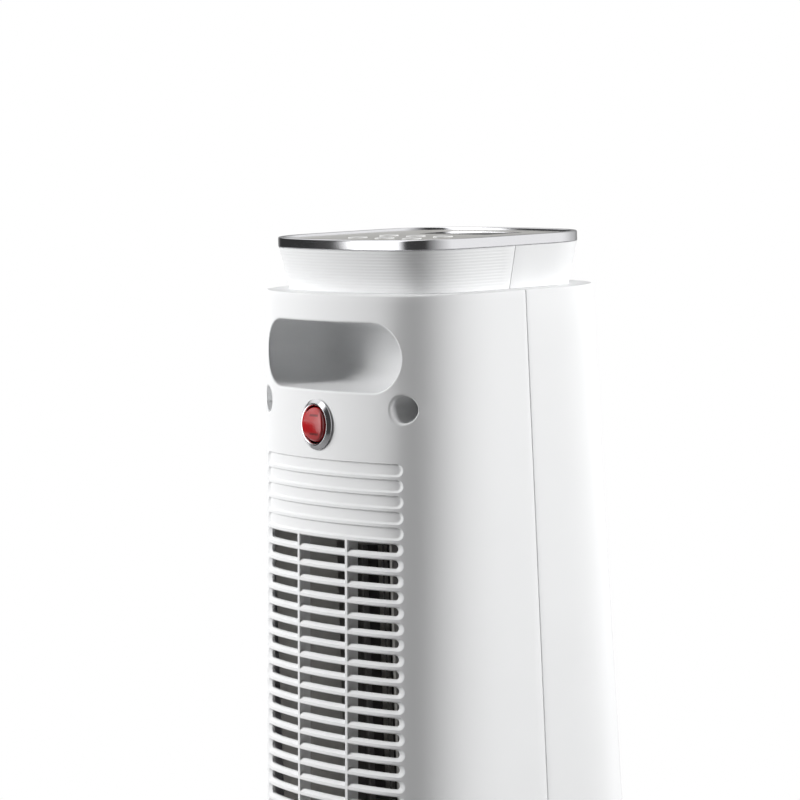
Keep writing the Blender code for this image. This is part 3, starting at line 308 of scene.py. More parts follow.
# Works inside the tower: the fan in its grey scroll, its shaded-pole motor, the heater and the boards.
# They show only through the slots of the two grilles, and keep their CAD forms with their own finishes.
dress(("fan_housing", "fan_cutoff"), moulded("grey_casing", (0.56, 0.545, 0.52), 0.6, 0.00003))
dress(["fan_wheel"], moulded("fan_graphite", (0.1, 0.094, 0.09), 0.55, 0.00003))
galvanised = Finish("galvanised", (0.36, 0.37, 0.38), 0.42, 1.0)
spangle = galvanised.node("ShaderNodeTexVoronoi", {}, {"Vector": galvanised.place(), "Scale": 160.0}, "Color")
spangle_grey = galvanised.node("ShaderNodeRGBToBW", {}, {"Color": spangle})
galvanised.set("Roughness", 0.32 + spangle_grey * 0.25)
galvanised.shade(spangle_grey, 0.78)
galvanised.bump(spangle_grey, 0.00001)
dress(("fan_bottom_plate", "fan_top_plate", "motor_stator", "swing_motor"), galvanised)
dress(("motor_rotor", "heater_fins_left", "heater_fins_right"),
      brushed("rotor_aluminium", (0.75, 0.75, 0.76), 0.34, (1, 1, 12)))
enamel_wire = Finish("enamel_wire", (0.55, 0.2, 0.07), 0.3, 0.8)
turns_of_wire = enamel_wire.node("ShaderNodeTexWave", {"bands_direction": "X"}, {
    "Vector": enamel_wire.place(), "Scale": 500.0, "Distortion": 0.4})
enamel_wire.bump(turns_of_wire, 0.0002)
enamel_wire.shade(turns_of_wire, 0.6)
dress(["motor_coil"], enamel_wire)
dress(("heater_frame", "ptc_strip"), moulded("ceramic_grey", (0.24, 0.23, 0.22), 0.65, 0.00006, 0.0009))
board_green = Finish("board_green", (0.03, 0.14, 0.06), 0.4)
tracks = board_green.node("ShaderNodeTexBrick", {"offset": 0.5}, {
    "Vector": board_green.place(), "Scale": 120.0, "Color1": (1, 1, 1, 1), "Color2": (0.2, 0.2, 0.2, 1),
    "Mortar": (0, 0, 0, 1), "Mortar Size": 0.03})
board_green.shade(board_green.node("ShaderNodeRGBToBW", {}, {"Color": tracks}), 1.7)
dress(("control_board", "power_board"), board_green)
dress(("relay_1", "relay_2"), moulded("relay_blue", (0.05, 0.13, 0.4), 0.3))


# Rear shell: the back half of the tower's body, 2.4 mm white ABS with a gently curved face and large round
# corners. It has the carry pocket, the switch's hole, two pairs of deep screw recesses, five blind slots and
# the intake grille of 36 rows, each in three stretches between two stiffening ribs.
class Outline:
    """The tower's section at any height: a curved face, a round corner and a straight side to the seam.

    Face and corner are plain arcs whose slope is averaged along them, so that they run softly together."""

    ledge = 0.616
    half_width = 0.07035
    face_radius = 0.20033
    corner_radius = 0.03177
    softening = 0.012
    corner_x = half_width - corner_radius
    meet = math.atan2(corner_x, math.sqrt((face_radius - corner_radius) ** 2 - corner_x ** 2))
    face_arc = face_radius * meet
    corner_arc = corner_radius * (math.pi / 2 - meet)
    flat_limit = 0.060
    corner_limit = 0.097
    seam_limit = 0.114
    section = []
    rows = {}

    def __init__(self, half_depth, growth=0.0, seam=0.0, seam_lean=0.0, gap=0.0):
        self.half_depth = half_depth
        self.growth = growth
        self.seam = seam
        self.seam_lean = seam_lean
        self.gap = gap

    @classmethod
    def slope_sum(cls, reach):
        """The slope of the plain arcs, summed along them from the middle of the face."""
        face = min(abs(reach), cls.face_arc)
        corner = min(abs(reach) - face, cls.corner_arc)
        total = face ** 2 / (2 * cls.face_radius) + cls.meet * corner + corner ** 2 / (2 * cls.corner_radius)
        return total + math.pi / 2 * (abs(reach) - face - corner)

    @classmethod
    def slope(cls, reach):
        soft = cls.softening
        return (cls.slope_sum(reach + soft) - cls.slope_sum(reach - soft)) / (2 * soft)

    @classmethod
    def lay_section(cls, steps=240):
        """Points from the middle of the face to the straight side: place across, distance back and slope."""
        step = (cls.face_arc + cls.corner_arc + cls.softening) / steps
        x = back = 0.0
        points = [(0.0, 0.0, 0.0)]
        for i in range(steps):
            turn = cls.slope(step * (i + 0.5))
            x += math.cos(turn) * step
            back += math.sin(turn) * step
            points.append((x, back, cls.slope(step * (i + 1))))
        scale = cls.half_width / x
        cls.section = [(a * scale, b * scale, turn) for a, b, turn in points]

    @classmethod
    def spot(cls, across, at):
        """Where along the section a place across the face lies, on the form drawn in by at."""
        if at not in cls.rows:
            cls.rows[at] = [x - at * math.sin(turn) for x, _, turn in cls.section]
        row = cls.rows[at]
        after = max(min(bisect_right(row, across), len(row) - 1), 1)
        return after - 1 + min((across - row[after - 1]) / (row[after] - row[after - 1]), 1.0)

    def face_y(self, z):
        return self.half_depth + self.growth * (self.ledge - z)

    def stretch(self, side, z):
        """How long the straight side is at a height, for each metre of u."""
        seam = self.seam - self.seam_lean * (self.ledge - z)
        length = self.face_y(z) - self.section[-1][1] - side * seam - self.gap / 2
        return length / (self.seam_limit - self.corner_limit)

    def point(self, side, u, z, inset, at=None):
        """u runs across the face as X, then round the corner and along the side, measured at the inset at."""
        across = abs(u)
        spot = self.spot(min(across, self.flat_limit), inset if at is None else at)
        share = min(max((across - self.flat_limit) / (self.corner_limit - self.flat_limit), 0.0), 1.0)
        spot += (len(self.section) - 1 - spot) * share
        whole = min(int(spot), len(self.section) - 2)
        ends = zip(self.section[whole], self.section[whole + 1])
        x, back, turn = (a + (b - a) * (spot - whole) for a, b in ends)
        y = self.face_y(z) - back - inset * math.cos(turn)
        y -= self.stretch(side, z) * max(across - self.corner_limit, 0.0)
        return Vector((math.copysign(x - inset * math.sin(turn), u), side * y, z))


def quarter(radius, steps):
    """Points of a rounded edge, as (distance from the edge, drop), from its start to its end."""
    return [(radius * (1 - math.sin(t)), radius * (1 - math.cos(t))) for t in quarter_turns(steps)]


def edge_drops(fillet, steps=3, support=0.00015):
    """How a hole's outline grows towards a rounded edge, with a support line on the face around it."""
    return [(fillet + support, 0.0)] + quarter(fillet, steps)


def rounding(distance, radius):
    """How far a rounded edge has drawn in at a distance from it."""
    if distance >= radius:
        return 0.0
    return radius - math.sqrt(max(radius ** 2 - (radius - distance) ** 2, 0.0))


class Skin:
    """Half of the tower's body as a wall with holes, rounded at the seam, the ledge and every hole."""

    wall = 0.0024
    edge = 0.0008
    seam_edge = 0.0004
    cup_wall = 0.002
    hole_margin = 0.001

    def __init__(self, side, outline, foot):
        self.side = side
        self.outline = outline
        self.foot = foot
        self.shape = bmesh.new()
        self.outer_holes = []
        self.inner_holes = []

    def outer(self, u, z):
        outline = self.outline
        inset = rounding((outline.seam_limit - abs(u)) * outline.stretch(self.side, z), self.seam_edge)
        inset += rounding(outline.ledge - z, self.edge)
        return outline.point(self.side, u, z, inset)

    def inner(self, u, z):
        return self.outline.point(self.side, u, z, self.wall)

    def sunk(self, x, z, depth):
        return self.outer(x, z) - Vector((0, self.side * depth, 0))

    def row(self, places):
        return [self.shape.verts.new(place) for place in places]

    def ladder(self, loop):
        """Close a loop that runs from its left tip over the top to its right tip and back."""
        half = len(loop) // 2
        strip(self.shape, loop[:half + 1], [loop[0]] + loop[:half - 1:-1], False)

    def fill(self, place, border, holes, spare):
        """Triangulate the wall between its border and its holes."""
        flat, made, owner, edges = [], [], [], []
        for number, (points, row) in enumerate([border] + holes):
            start = len(flat)
            flat += points
            made += row
            owner += [number] * len(points)
            edges += [(start + i, start + (i + 1) % len(points)) for i in range(len(points))]
        boxes = []
        for points, _ in holes:
            across, up = zip(*points)
            boxes.append((min(across), max(across), min(up), max(up)))
        near = self.hole_margin
        for u, z in spare:
            if not any(a - near < u < b + near and c - near < z < d + near for a, b, c, d in boxes):
                flat.append((u, z))
                made.append(None)
                owner.append(-1)
        flat = [Vector(point) for point in flat]
        points, _, faces, sources, _, _ = delaunay_2d_cdt(flat, edges, [], 0, 1e-8, True)
        rows, owners = [], []
        for point, source in zip(points, sources):
            known = made[source[0]] if source else None
            rows.append(known or self.shape.verts.new(place(point.x, point.y)))
            owners.append(owner[source[0]] if source else -1)
        for face in faces:
            held = {owners[i] for i in face}
            if len(held) > 1 or held <= {-1, 0}:
                self.shape.faces.new([rows[i] for i in face])

    def mouth(self, loop, drops):
        """Rows in from the outer face: each drop gives how much the outline grows and how deep it lies."""
        rows = []
        for grow, drop in drops:
            points = loop(grow, drop)
            rows.append(self.row([self.sunk(x, z, drop) for x, z in points]))
            if len(rows) == 1:
                self.outer_holes.append((points, rows[0]))
        return rows

    def hole(self, loop, drops, grow=0.0):
        """A hole through the wall."""
        rows = self.mouth(loop, drops)
        points = loop(grow, self.wall)
        rows.append(self.row([self.inner(x, z) for x, z in points]))
        self.inner_holes.append((points, rows[-1]))
        chain(self.shape, rows)

    def dent(self, loop, drops):
        """A blind hollow with a floor that follows the face."""
        rows = self.mouth(loop, drops)
        chain(self.shape, rows)
        self.ladder(rows[-1])

    def cup(self, loop, fillet, stages, floor_y):
        """A deep pocket with its own wall, closed by a floor that stands across Y."""
        rows = self.mouth(loop, edge_drops(fillet, 4))
        for share, grow in stages:
            places = []
            for x, z in loop(grow):
                near = self.side * self.outer(x, z).y - fillet
                places.append((x, self.side * (near + (floor_y - near) * share), z))
            rows.append(self.row(places))
        chain(self.shape, rows)
        self.ladder(rows[-1])
        points = loop(self.cup_wall)
        back = [self.row([self.inner(x, z) for x, z in points])]
        self.inner_holes.append((points, back[0]))
        for y in (floor_y, floor_y - self.cup_wall):
            back.append(self.row([(x, self.side * y, z) for x, z in points]))
        chain(self.shape, back)
        self.ladder(back[-1])

    def face(self, place, spans, heights, holes, spare):
        """Lay a face with holes; gives its border's row, from the lower left corner, and its four sides."""
        points = [(u, heights[0]) for u in spans] + [(spans[-1], z) for z in heights[1:-1]]
        points += [(u, heights[-1]) for u in reversed(spans)]
        points += [(spans[0], z) for z in reversed(heights[1:-1])]
        row = self.row([place(u, z) for u, z in points])
        self.fill(place, (points, row), holes, spare)
        count = len(spans)
        turn = count + len(heights) - 2
        left = [row[0]] + row[:-len(heights):-1]
        return row, row[:count], row[turn:turn + count], row[count - 1:turn + 1], left

    def close(self, spans, up, opening):
        """Lay the outer and inner faces, the foot, the ledge and the seam faces."""
        outline = self.outline
        top = outline.ledge
        levels = [self.foot] + up
        rounds = [top - distance for distance, _ in quarter(self.edge, 3)]
        spare = [(u, z) for z in levels[1:] + rounds[:-1] for u in spans[1:-1]]
        for z in levels[1:] + rounds[:-1]:
            stretch = outline.stretch(self.side, z)
            for distance, _ in quarter(self.seam_edge, 3)[:-1]:
                spare += [(way * (outline.seam_limit - distance / stretch), z) for way in (-1, 1)]
        _, outer_foot, outer_head, *outer_sides = self.face(
            self.outer, spans, levels + rounds, self.outer_holes, spare)
        spare = [(u, z) for z in levels[1:] for u in spans[1:-1]]
        _, inner_foot, inner_head, *inner_sides = self.face(
            self.inner, spans, levels + [top - self.wall], self.inner_holes, spare)
        strip(self.shape, outer_foot, inner_foot, False)
        lip = [self.row([outline.point(self.side, u, z, opening, self.edge) for u in reversed(spans)])
               for z in (top, top - self.wall)]
        chain(self.shape, [outer_head, *lip, inner_head], False)
        for outer_side, inner_side, end in zip(outer_sides, inner_sides, (0, -1)):
            self.shape.faces.new(outer_side + [lip[0][end], lip[1][end]] + inner_side[::-1])


def frame_loop(x, z, half_width, half_height, corner, long_steps, round_steps=4):
    """A rectangle with round corners, from the middle of its left side over the top and back below.

    Corners that meet make it a slot with round ends or a circle."""
    straight_x = half_width - corner
    straight_z = half_height - corner

    def loop(grow, _=0.0):
        radius = corner + grow
        rise = [(-straight_x - radius * math.cos(t), straight_z + radius * math.sin(t))
                for t in quarter_turns(round_steps)]
        level = [(straight_x * (2 * i / long_steps - 1), straight_z + radius) for i in range(1, long_steps)]
        fall = [(-a, b) for a, b in reversed(rise)]
        top = rise + level + (fall if straight_x else fall[1:])
        if straight_z:
            top = [(-half_width - grow, 0)] + top + [(half_width + grow, 0)]
        return [(x + a, z + b) for a, b in top] + [(x + a, z - b) for a, b in top[-2:0:-1]]
    return loop


def pill(x, z, half_length, half_height, long_steps, round_steps):
    return frame_loop(x, z, half_length, half_height, half_height, long_steps, round_steps)


def circle(x, z, radius, round_steps):
    return pill(x, z, radius, radius, 0, round_steps)


def bay(near, far, z, side, long_steps, round_steps):
    """A stretch of slot from a rib to the next rib, or to its round end when round_steps is given.

    A share of 1 is the slot's mouth on the face, and 0 is its throat, where the sloping walls end."""
    def loop(share, drop):
        radius = slot_half_height + (mouth_above + mouth_below) / 2 * share
        middle = z + (mouth_above - mouth_below) / 2 * share
        start = near - rounding(drop, rib_round)
        if round_steps:
            end = far + mouth_beyond * share - radius
            tip = [(end + radius * math.sin(t), radius * math.cos(t)) for t in quarter_turns(round_steps)]
        else:
            end = far + rounding(drop, rib_round)
            tip = [(end, radius)]
        top = [(start + (end - start) * i / long_steps, radius) for i in range(long_steps)] + tip
        back = [(a, -b) for a, b in reversed(top)]
        return [(side * a, middle + b) for a, b in top + (back[1:] if round_steps else back)]
    return loop


Outline.lay_section()
body = Outline(half_depth=0.06134, growth=0.0404, seam=0.00027, seam_lean=0.0186, gap=0.0003)
shell_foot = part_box("rear_shell")[0].z
rear = Skin(1, body, shell_foot)

slot_pitch = 0.007
slot_half_height = 0.0019
first_slot_drop = 0.1115
slot_rows = 36
slot_reach = 0.0473
slot_growth = 0.0065
mouth_above = 0.0007
mouth_below = 0.0013
mouth_beyond = 0.0037
rib_x = 0.0179
rib_half = 0.00095
rib_round = 0.0003
slot_drops = [(1.05, 0.0), (1.0, 0.0), (0.96, 0.00001), (0.9, 0.00006), (0.8, 0.0002), (0.1, 0.00108),
              (0.03, 0.0012), (0.0, 0.0014)]
for row in range(slot_rows):
    height = body.ledge - first_slot_drop - row * slot_pitch
    reach = slot_reach + slot_growth * row * slot_pitch
    rear.hole(bay(rib_half - rib_x, rib_x - rib_half, height, 1, 10, 0), slot_drops)
    for way in (-1, 1):
        rear.hole(bay(rib_x + rib_half, reach, height, way, 10, 6), slot_drops)

blind_rows = 5
blind_above = 0.0004
blind_below = 0.0009
blind_ends = 0.0022
blind_drops = [(1.1, 0.0), (1.0, 0.0), (0.94, 0.00002), (0.82, 0.00012), (0.2, 0.00078), (0.06, 0.00088),
               (-0.3, 0.0009)]


def blind_slot(z, far):
    """A shallow slot over the full width: its floor is drawn in from the open slots' mouth."""
    def loop(share, _):
        above = mouth_above - blind_above * (1 - share)
        below = mouth_below - blind_below * (1 - share)
        half_length = far + mouth_beyond - blind_ends * (1 - share)
        return pill(0, z + (above - below) / 2, half_length, slot_half_height + (above + below) / 2, 30, 6)(0)
    return loop


for row in range(1, blind_rows + 1):
    reach = slot_reach - slot_growth * row * slot_pitch
    rear.dent(blind_slot(body.ledge - first_slot_drop + row * slot_pitch, reach), blind_drops)

pocket_drop = 0.0278
pocket_half_length = 0.0493
pocket_half_height = 0.0153
pocket_edge = 0.0010
pocket_floor = 0.0229
pocket_corner = 0.0095
pocket_draft = 0.0008
pocket = pill(0, body.ledge - pocket_drop, pocket_half_length, pocket_half_height, 28, 12)
pocket_stages = [(share, -pocket_draft * share) for share in (0.03, 0.08, 0.16, 0.3, 0.45, 0.6)]
for turn in quarter_turns(10)[1:]:
    pocket_stages.append((0.7 + 0.3 * math.sin(turn), -pocket_draft - pocket_corner * (1 - math.cos(turn))))
rear.cup(pocket, pocket_edge, pocket_stages, pocket_floor)

switch_drop = 0.0586
switch_x = 0.0025
switch_hole_radius = 0.0101
switch_hole_edge = 0.0004
switch_height = body.ledge - switch_drop
rear.hole(circle(switch_x, switch_height, switch_hole_radius, 10), edge_drops(switch_hole_edge, 2))

recess_x = 0.0503
recess_drop = 0.0501
lower_recess_height = 0.080
recess_radius = 0.006
recess_edge = 0.0011
recess_floor = 0.012
recess_stages = [(0.3, 0.0), (0.98, -0.0002), (1.0, -0.0008)]
for height in (body.ledge - recess_drop, lower_recess_height):
    for x in (-recess_x, recess_x):
        rear.cup(circle(x, height, recess_radius, 10), recess_edge, recess_stages, recess_floor)

ledge_opening = 0.01465
half_spans = [0.0032 * i for i in range(19)] + [body.flat_limit + 0.0037 * i for i in range(11)]
half_spans += [body.corner_limit + 0.0046 * i for i in range(1, 4)] + [body.seam_limit]
spans = [-u for u in reversed(half_spans[1:])] + half_spans
lower_levels = [shell_foot + 0.0155 * i for i in range(1, 14)]
between_drop = 0.0004
between_rows = body.ledge - first_slot_drop - between_drop + slot_pitch / 2
grille_levels = [between_rows - row * slot_pitch for row in range(slot_rows, -blind_rows - 1, -1)]
upper_levels = [body.ledge - drop for drop in (0.064, 0.055, 0.046, 0.037, 0.028, 0.019, 0.010, 0.004)]
rear.close(spans, lower_levels + grille_levels + upper_levels, ledge_opening)

rib_depth = 0.006
rib_draft = 0.0001
rib_sink = 0.0001
rib_low = body.ledge - first_slot_drop - slot_rows * slot_pitch
rib_high = body.ledge - first_slot_drop + slot_pitch
for x in (-rib_x, rib_x):
    rows = []
    for z in (rib_low, rib_high):
        front = rear.inner(x, z).y + rib_sink
        back = rear.outer(x, z).y - rib_depth
        tip = rib_half - rib_draft
        rows.append(rear.row([(x - rib_half, front, z), (x + rib_half, front, z), (x + tip, back, z),
                              (x - tip, back, z)]))
        rear.shape.faces.new(rows[-1])
    chain(rear.shape, rows)
fit("rear_shell_moulding", rear.shape, white_shell, "tower", ["rear_shell"])


# Front shell: the other half of the body, in the same white ABS, with the opening for the outlet grille.
# The two halves meet in a fine seam down the middle of each side.
front = Skin(-1, body, shell_foot)
outlet_low = 0.234
outlet_high = 0.522
outlet_middle = (outlet_low + outlet_high) / 2
outlet_half_height = (outlet_high - outlet_low) / 2
outlet_half_width = 0.040
outlet_corner = 0.003
outlet_edge = 0.0006
outlet = frame_loop(0, outlet_middle, outlet_half_width, outlet_half_height, outlet_corner, 26)
front.hole(outlet, edge_drops(outlet_edge))
front.close(spans, [shell_foot + 0.0193 * i for i in range(1, 30)], ledge_opening)
fit("front_shell_moulding", front.shape, white_shell, "tower", ["front_shell"])


# Outlet grille: a white plate set flush in the front shell, with tall openings between rounded bars.
# It is clipped in from behind, with a thin flange round it.
class Plate(Skin):
    """A flush plate cut from the body's outline, with its own rounded border."""

    plate_edge = 0.0005

    def __init__(self, side, outline, half_width, low, high, inset):
        super().__init__(side, outline, low)
        self.half_width = half_width
        self.high = high
        self.inset = inset

    def outer(self, u, z):
        near = min(self.half_width - abs(u), self.high - z, z - self.foot)
        return self.outline.point(self.side, u, z, self.inset + rounding(near, self.plate_edge))

    def close(self, columns, levels):
        """Lay the outer and inner faces and the edge between them."""
        heights = [self.foot, *levels, self.high]
        edge = [distance for distance, _ in quarter(self.plate_edge, 3)[1:-1]]
        near = [(way * (self.half_width - e), z) for z in levels for e in edge for way in (-1, 1)]
        near += [(u, z) for u in columns[1:-1] for e in edge for z in (self.foot + e, self.high - e)]
        spare = [(u, z) for z in levels for u in columns[1:-1]]
        outer_row, *_ = self.face(self.outer, columns, heights, self.outer_holes, spare + near)
        inner_row, *_ = self.face(self.inner, columns, heights, self.inner_holes, spare)
        strip(self.shape, outer_row, inner_row)


grille_gap = 0.0003
grille_inset = 0.0003
grille_half = outlet_half_width - grille_gap
grille = Plate(-1, body, grille_half, outlet_low + grille_gap, outlet_high - grille_gap, grille_inset)
grille_columns = 8
grille_bands = 4
grille_margin = 0.003
grille_bar = 0.0022
band_bar = 0.004
cell_corner = 0.0012
cell_width = (2 * (outlet_half_width - grille_margin) + grille_bar) / grille_columns
cell_height = (2 * (outlet_half_height - grille_margin) + band_bar) / grille_bands
half_bay = (cell_width - grille_bar) / 2
half_band = (cell_height - band_bar) / 2
for column in range(grille_columns):
    x = grille_margin - outlet_half_width + column * cell_width + half_bay
    for band in range(grille_bands):
        z = outlet_low + grille_margin + band * cell_height + half_band
        grille.hole(frame_loop(x, z, half_bay, half_band, cell_corner, 3, 3), edge_drops(outlet_edge))
white_trim = moulded("white_trim", (0.84, 0.845, 0.85), 0.38, 0.00001, 0.00045)
grille.close([grille_half * i / 12 for i in range(-12, 13)],
             [outlet_low + grille_gap + 0.0096 * i for i in range(1, 30)])
fit("outlet_grille", grille.shape, white_trim, "tower", ["front_grille"])


# Round rocker switch: a bought-in snap-in part for a 20 mm hole, with a black body, a bright chromed bezel
# ring and a red translucent rocker on two moulded pins, its top a barrel across Y. The ring stands 1.9 mm
# proud, and its foot follows the shell's curved face.
lean = math.atan(body.growth)
outward = Matrix.Rotation(math.radians(-90) + lean, 4, "X")
switch_place = Matrix.Translation((switch_x, body.face_y(switch_height), switch_height)) @ outward
bezel_radius = 0.0115
bezel_proud = 0.0019
bezel_skirt = 0.0006
mouth_radius = 0.00865
crest_outer = mouth_radius + 0.0009
crest_inner = mouth_radius + 0.0003
crest_drop = 0.0001
lip_drop = 0.0005
ring_low = 0.0003
ring_root = 0.0005
bezel_rounding = (0.0001, 0.0004, 0.0003, 0.0002, 0.0003, 0)
profile = eased([(bezel_radius, ring_low), (bezel_radius, bezel_skirt), (crest_outer, bezel_proud),
                 (crest_inner, bezel_proud - crest_drop), (mouth_radius, bezel_proud - lip_drop),
                 (mouth_radius, ring_low)], bezel_rounding)
chrome = Finish("chrome", (0.8, 0.8, 0.82), 0.14, 1.0)
chrome_cloud = chrome.noise(0.012)
chrome.set("Roughness", 0.12 + chrome_cloud * 0.06)
chrome.shade(chrome_cloud, 0.96)
chrome.bump(chrome.noise(0.0022), 0.000004)
ring = turned(profile, 72)
for corner in ring.verts:
    if corner.co.z < ring_root:
        corner.co.z -= (corner.co.x + switch_x) ** 2 / (2 * body.face_radius)
fit("switch_ring", ring, chrome, "tower", (), switch_place)

housing_radius = 0.0098
housing_back = -0.021
housing_edge = 0.0003
switch_floor = -0.0088
profile = eased([(housing_radius, ring_low), (mouth_radius, ring_low), (mouth_radius, switch_floor),
                 (0, switch_floor), (0, housing_back), (housing_radius, housing_back)],
                (0, 0, 0, 0, 0, housing_edge))
black_gloss = moulded("black_gloss", (0.022, 0.022, 0.024), 0.16, 0.000004, 0.001, {
    "Coat Weight": 0.6, "Coat Roughness": 0.05})
fit("switch_housing", turned(profile, 72), black_gloss, "tower", ["switch_body"], switch_place)

blade_size = (0.0063, 0.0008, 0.009)
blade_pitch = 0.0045
blade_z = housing_back - blade_size[2] / 2
blade_edge = 0.00015
blades = bmesh.new()
for number in (-1, 0, 1):
    made = bmesh.ops.create_cube(blades, size=1.0)["verts"]
    bmesh.ops.scale(blades, vec=blade_size, verts=made)
    bmesh.ops.translate(blades, vec=(0, number * blade_pitch, blade_z), verts=made)
bmesh.ops.bevel(blades, geom=blades.edges[:], offset=blade_edge, segments=2, affect="EDGES")
fit("switch_blades", blades, zinc_plate, "tower", (), switch_place)

pivot_below = 0.0055
rocker_crown = pivot_below + 0.0018
barrel_radius = 0.014
across_radius = 0.050
lens_radius = 0.0079
lens_edge = 0.0009
lens_foot = -0.0034
pin_radius = 0.0012
pin_length = 0.0022
pin_x = 0.0085
lens_place = switch_place @ Matrix.Translation((0, 0, bezel_proud - pivot_below))
profile = [(lens_radius * share, 0) for share in (0, 0.16, 0.32, 0.48, 0.64, 0.78, 0.88)]
profile += [(lens_radius - distance, -drop) for distance, drop in quarter(lens_edge, 4)]
lens = turned(profile + [(lens_radius, lens_foot), (0, lens_foot)], 64)
for corner in lens.verts:
    if corner.co.z > lens_foot / 2:
        barrel = rounding(barrel_radius - abs(corner.co.y), barrel_radius)
        corner.co.z += rocker_crown - barrel - corner.co.x ** 2 / (2 * across_radius)
for way in (-1, 1):
    made = bmesh.ops.create_cone(lens, cap_ends=True, segments=16, radius1=pin_radius, radius2=pin_radius,
                                 depth=pin_length)["verts"]
    bmesh.ops.rotate(lens, cent=(0, 0, 0), matrix=Matrix.Rotation(math.radians(90), 3, "Y"), verts=made)
    bmesh.ops.translate(lens, vec=(way * pin_x, 0, 0), verts=made)

# The lens's colour is darkened in two bars across its top, one each side of the pivot.
dark_bar_y = 0.0042
dark_bar_half_height = 0.0005
dark_bar_x = -0.0015
dark_bar_half_length = 0.003
red_lens = Finish("red_lens", (0.5, 0.008, 0.012), 0.22, 0.0, {
    "Transmission Weight": 0.1, "IOR": 1.49, "Coat Weight": 0.6, "Coat Roughness": 0.08})
lens_x, lens_y = (red_lens.node("ShaderNodeSeparateXYZ", {}, {0: red_lens.place()}, axis) for axis in "XY")
dark_bars = (abs(abs(lens_y) - dark_bar_y) < dark_bar_half_height) * (abs(lens_x - dark_bar_x) < dark_bar_half_length)
red_lens.shade(dark_bars * 0.8, 0.25)
red_lens.bump(red_lens.noise(0.0016), 0.00004)
fit("rocker_lens", lens, red_lens, "rocker", ["power_rocker"], lens_place)


# Collar: two white mouldings that flare up from the ledge to the rim and meet in a seam on each side.
# The rear half has fine horizontal grooves that fade out before the seam, and the front half is smooth.
neck = Outline(body.half_depth, seam=0.00053, seam_lean=-0.0428, gap=0.0003)
collar_low = body.ledge + 0.00008
collar_height = 0.01915
collar_foot_inset = 0.01065
collar_top_inset = 0.0064
collar_wall = 0.002
collar_edge = 0.0004
groove_count = 14
groove_depth = 0.00009
groove_margin = 0.0025
groove_fade = 0.0015
for name, side in (("rear", 1), ("front", -1)):
    shape = bmesh.new()
    steps = groove_count * 6 if side > 0 else 8
    rows = []
    for u in spans:
        places = []
        for i in range(steps + 1):
            share = i / steps
            z = collar_low + collar_height * share
            gap = (neck.seam_limit - abs(u)) * neck.stretch(side, z)
            inset = collar_foot_inset + (collar_top_inset - collar_foot_inset) * share
            if side > 0:
                wave = 0.5 - 0.5 * math.cos(math.tau * share * groove_count)
                inset += wave * groove_depth * max(0.0, min((gap - groove_margin) / groove_fade, 1.0))
            places.append(neck.point(side, u, z, inset + rounding(gap, collar_edge), 0.0))
        for z, inset in ((collar_low + collar_height, collar_top_inset), (collar_low, collar_foot_inset)):
            places.append(neck.point(side, u, z, inset + collar_wall, 0.0))
        rows.append([shape.verts.new(place) for place in places])
    chain(shape, rows)
    shape.faces.new(rows[0])
    shape.faces.new(rows[-1])
    fit(f"collar_{name}_moulding", shape, white_trim, "tower", [f"collar_{name}"])


# Top rim: a chromed ABS ring round the control panel, 4.7 mm tall with softly rounded edges.
# Its inner step holds the panel 1.2 mm below its top.
def crown_ring(shape, inset, z):
    """A closed row of points round the neck, drawn in by an inset."""
    places = [crown.point(1, u, crown.ledge, inset, 0.0) for u in spans]
    places += [crown.point(-1, u, crown.ledge, inset, 0.0) for u in reversed(spans[1:-1])]
    return [shape.verts.new((place.x, place.y, z)) for place in places]


crown = Outline(body.half_depth)
rim_low = collar_low + collar_height + 0.00007
rim_high = body.ledge + 0.024
rim_inset = 0.00624
rim_bore = rim_inset + 0.0022
rim_seat = rim_inset + 0.006
rim_step = rim_low + 0.0012
rim_rounding = (0.0005, 0.0009, 0.0007, 0.0001, 0.0003, 0.0003)
profile = eased([(rim_inset, rim_low), (rim_inset, rim_high), (rim_bore, rim_high), (rim_bore, rim_step),
                 (rim_seat, rim_step), (rim_seat, rim_low)], rim_rounding)
shape = bmesh.new()
rows = [crown_ring(shape, inset, z) for inset, z in profile]
chain(shape, rows + rows[:1])
fit("chrome_rim", shape, chrome, "tower", ["top_rim"])


# Control panel: a warm grey plate set into the rim on four posts, with a bed for the display window and
# six round holes for the buttons. Its top is a little glossy, with a fine even grain.
panel_top = rim_high - 0.0012
panel_low = rim_low + 0.0015
panel_inset = rim_inset + 0.0025
panel_gap = 0.0003
panel_edge = 0.0003
panel_rounding = ((0.0012, 0.0), (0.0006, 0.00008), (0.00018, 0.0003), (0.0, 0.0006))
window_half_width = 0.025
window_half_depth = 0.011
window_y = -0.026
window_step = 0.002
bed_corner = 0.0015
bed_depth = 0.0015
bed_step = -window_step - panel_gap
button_radius = 0.0045
button_places = [((number % 3 - 1) * 0.020, 0.006 + (number // 3) * 0.018) for number in range(6)]
post_x = 0.041
post_y = 0.027
post_radius = 0.0025
post_length = 0.0082
post_sink = 0.0002


class Deck(Skin):
    """A level plate: the flat plane is X and Y."""

    def __init__(self, low, high):
        super().__init__(1, None, low)
        self.high = high

    def inner(self, x, y):
        return Vector((x, y, self.foot))

    def sunk(self, x, y, depth=0.0):
        return Vector((x, y, self.high - depth))


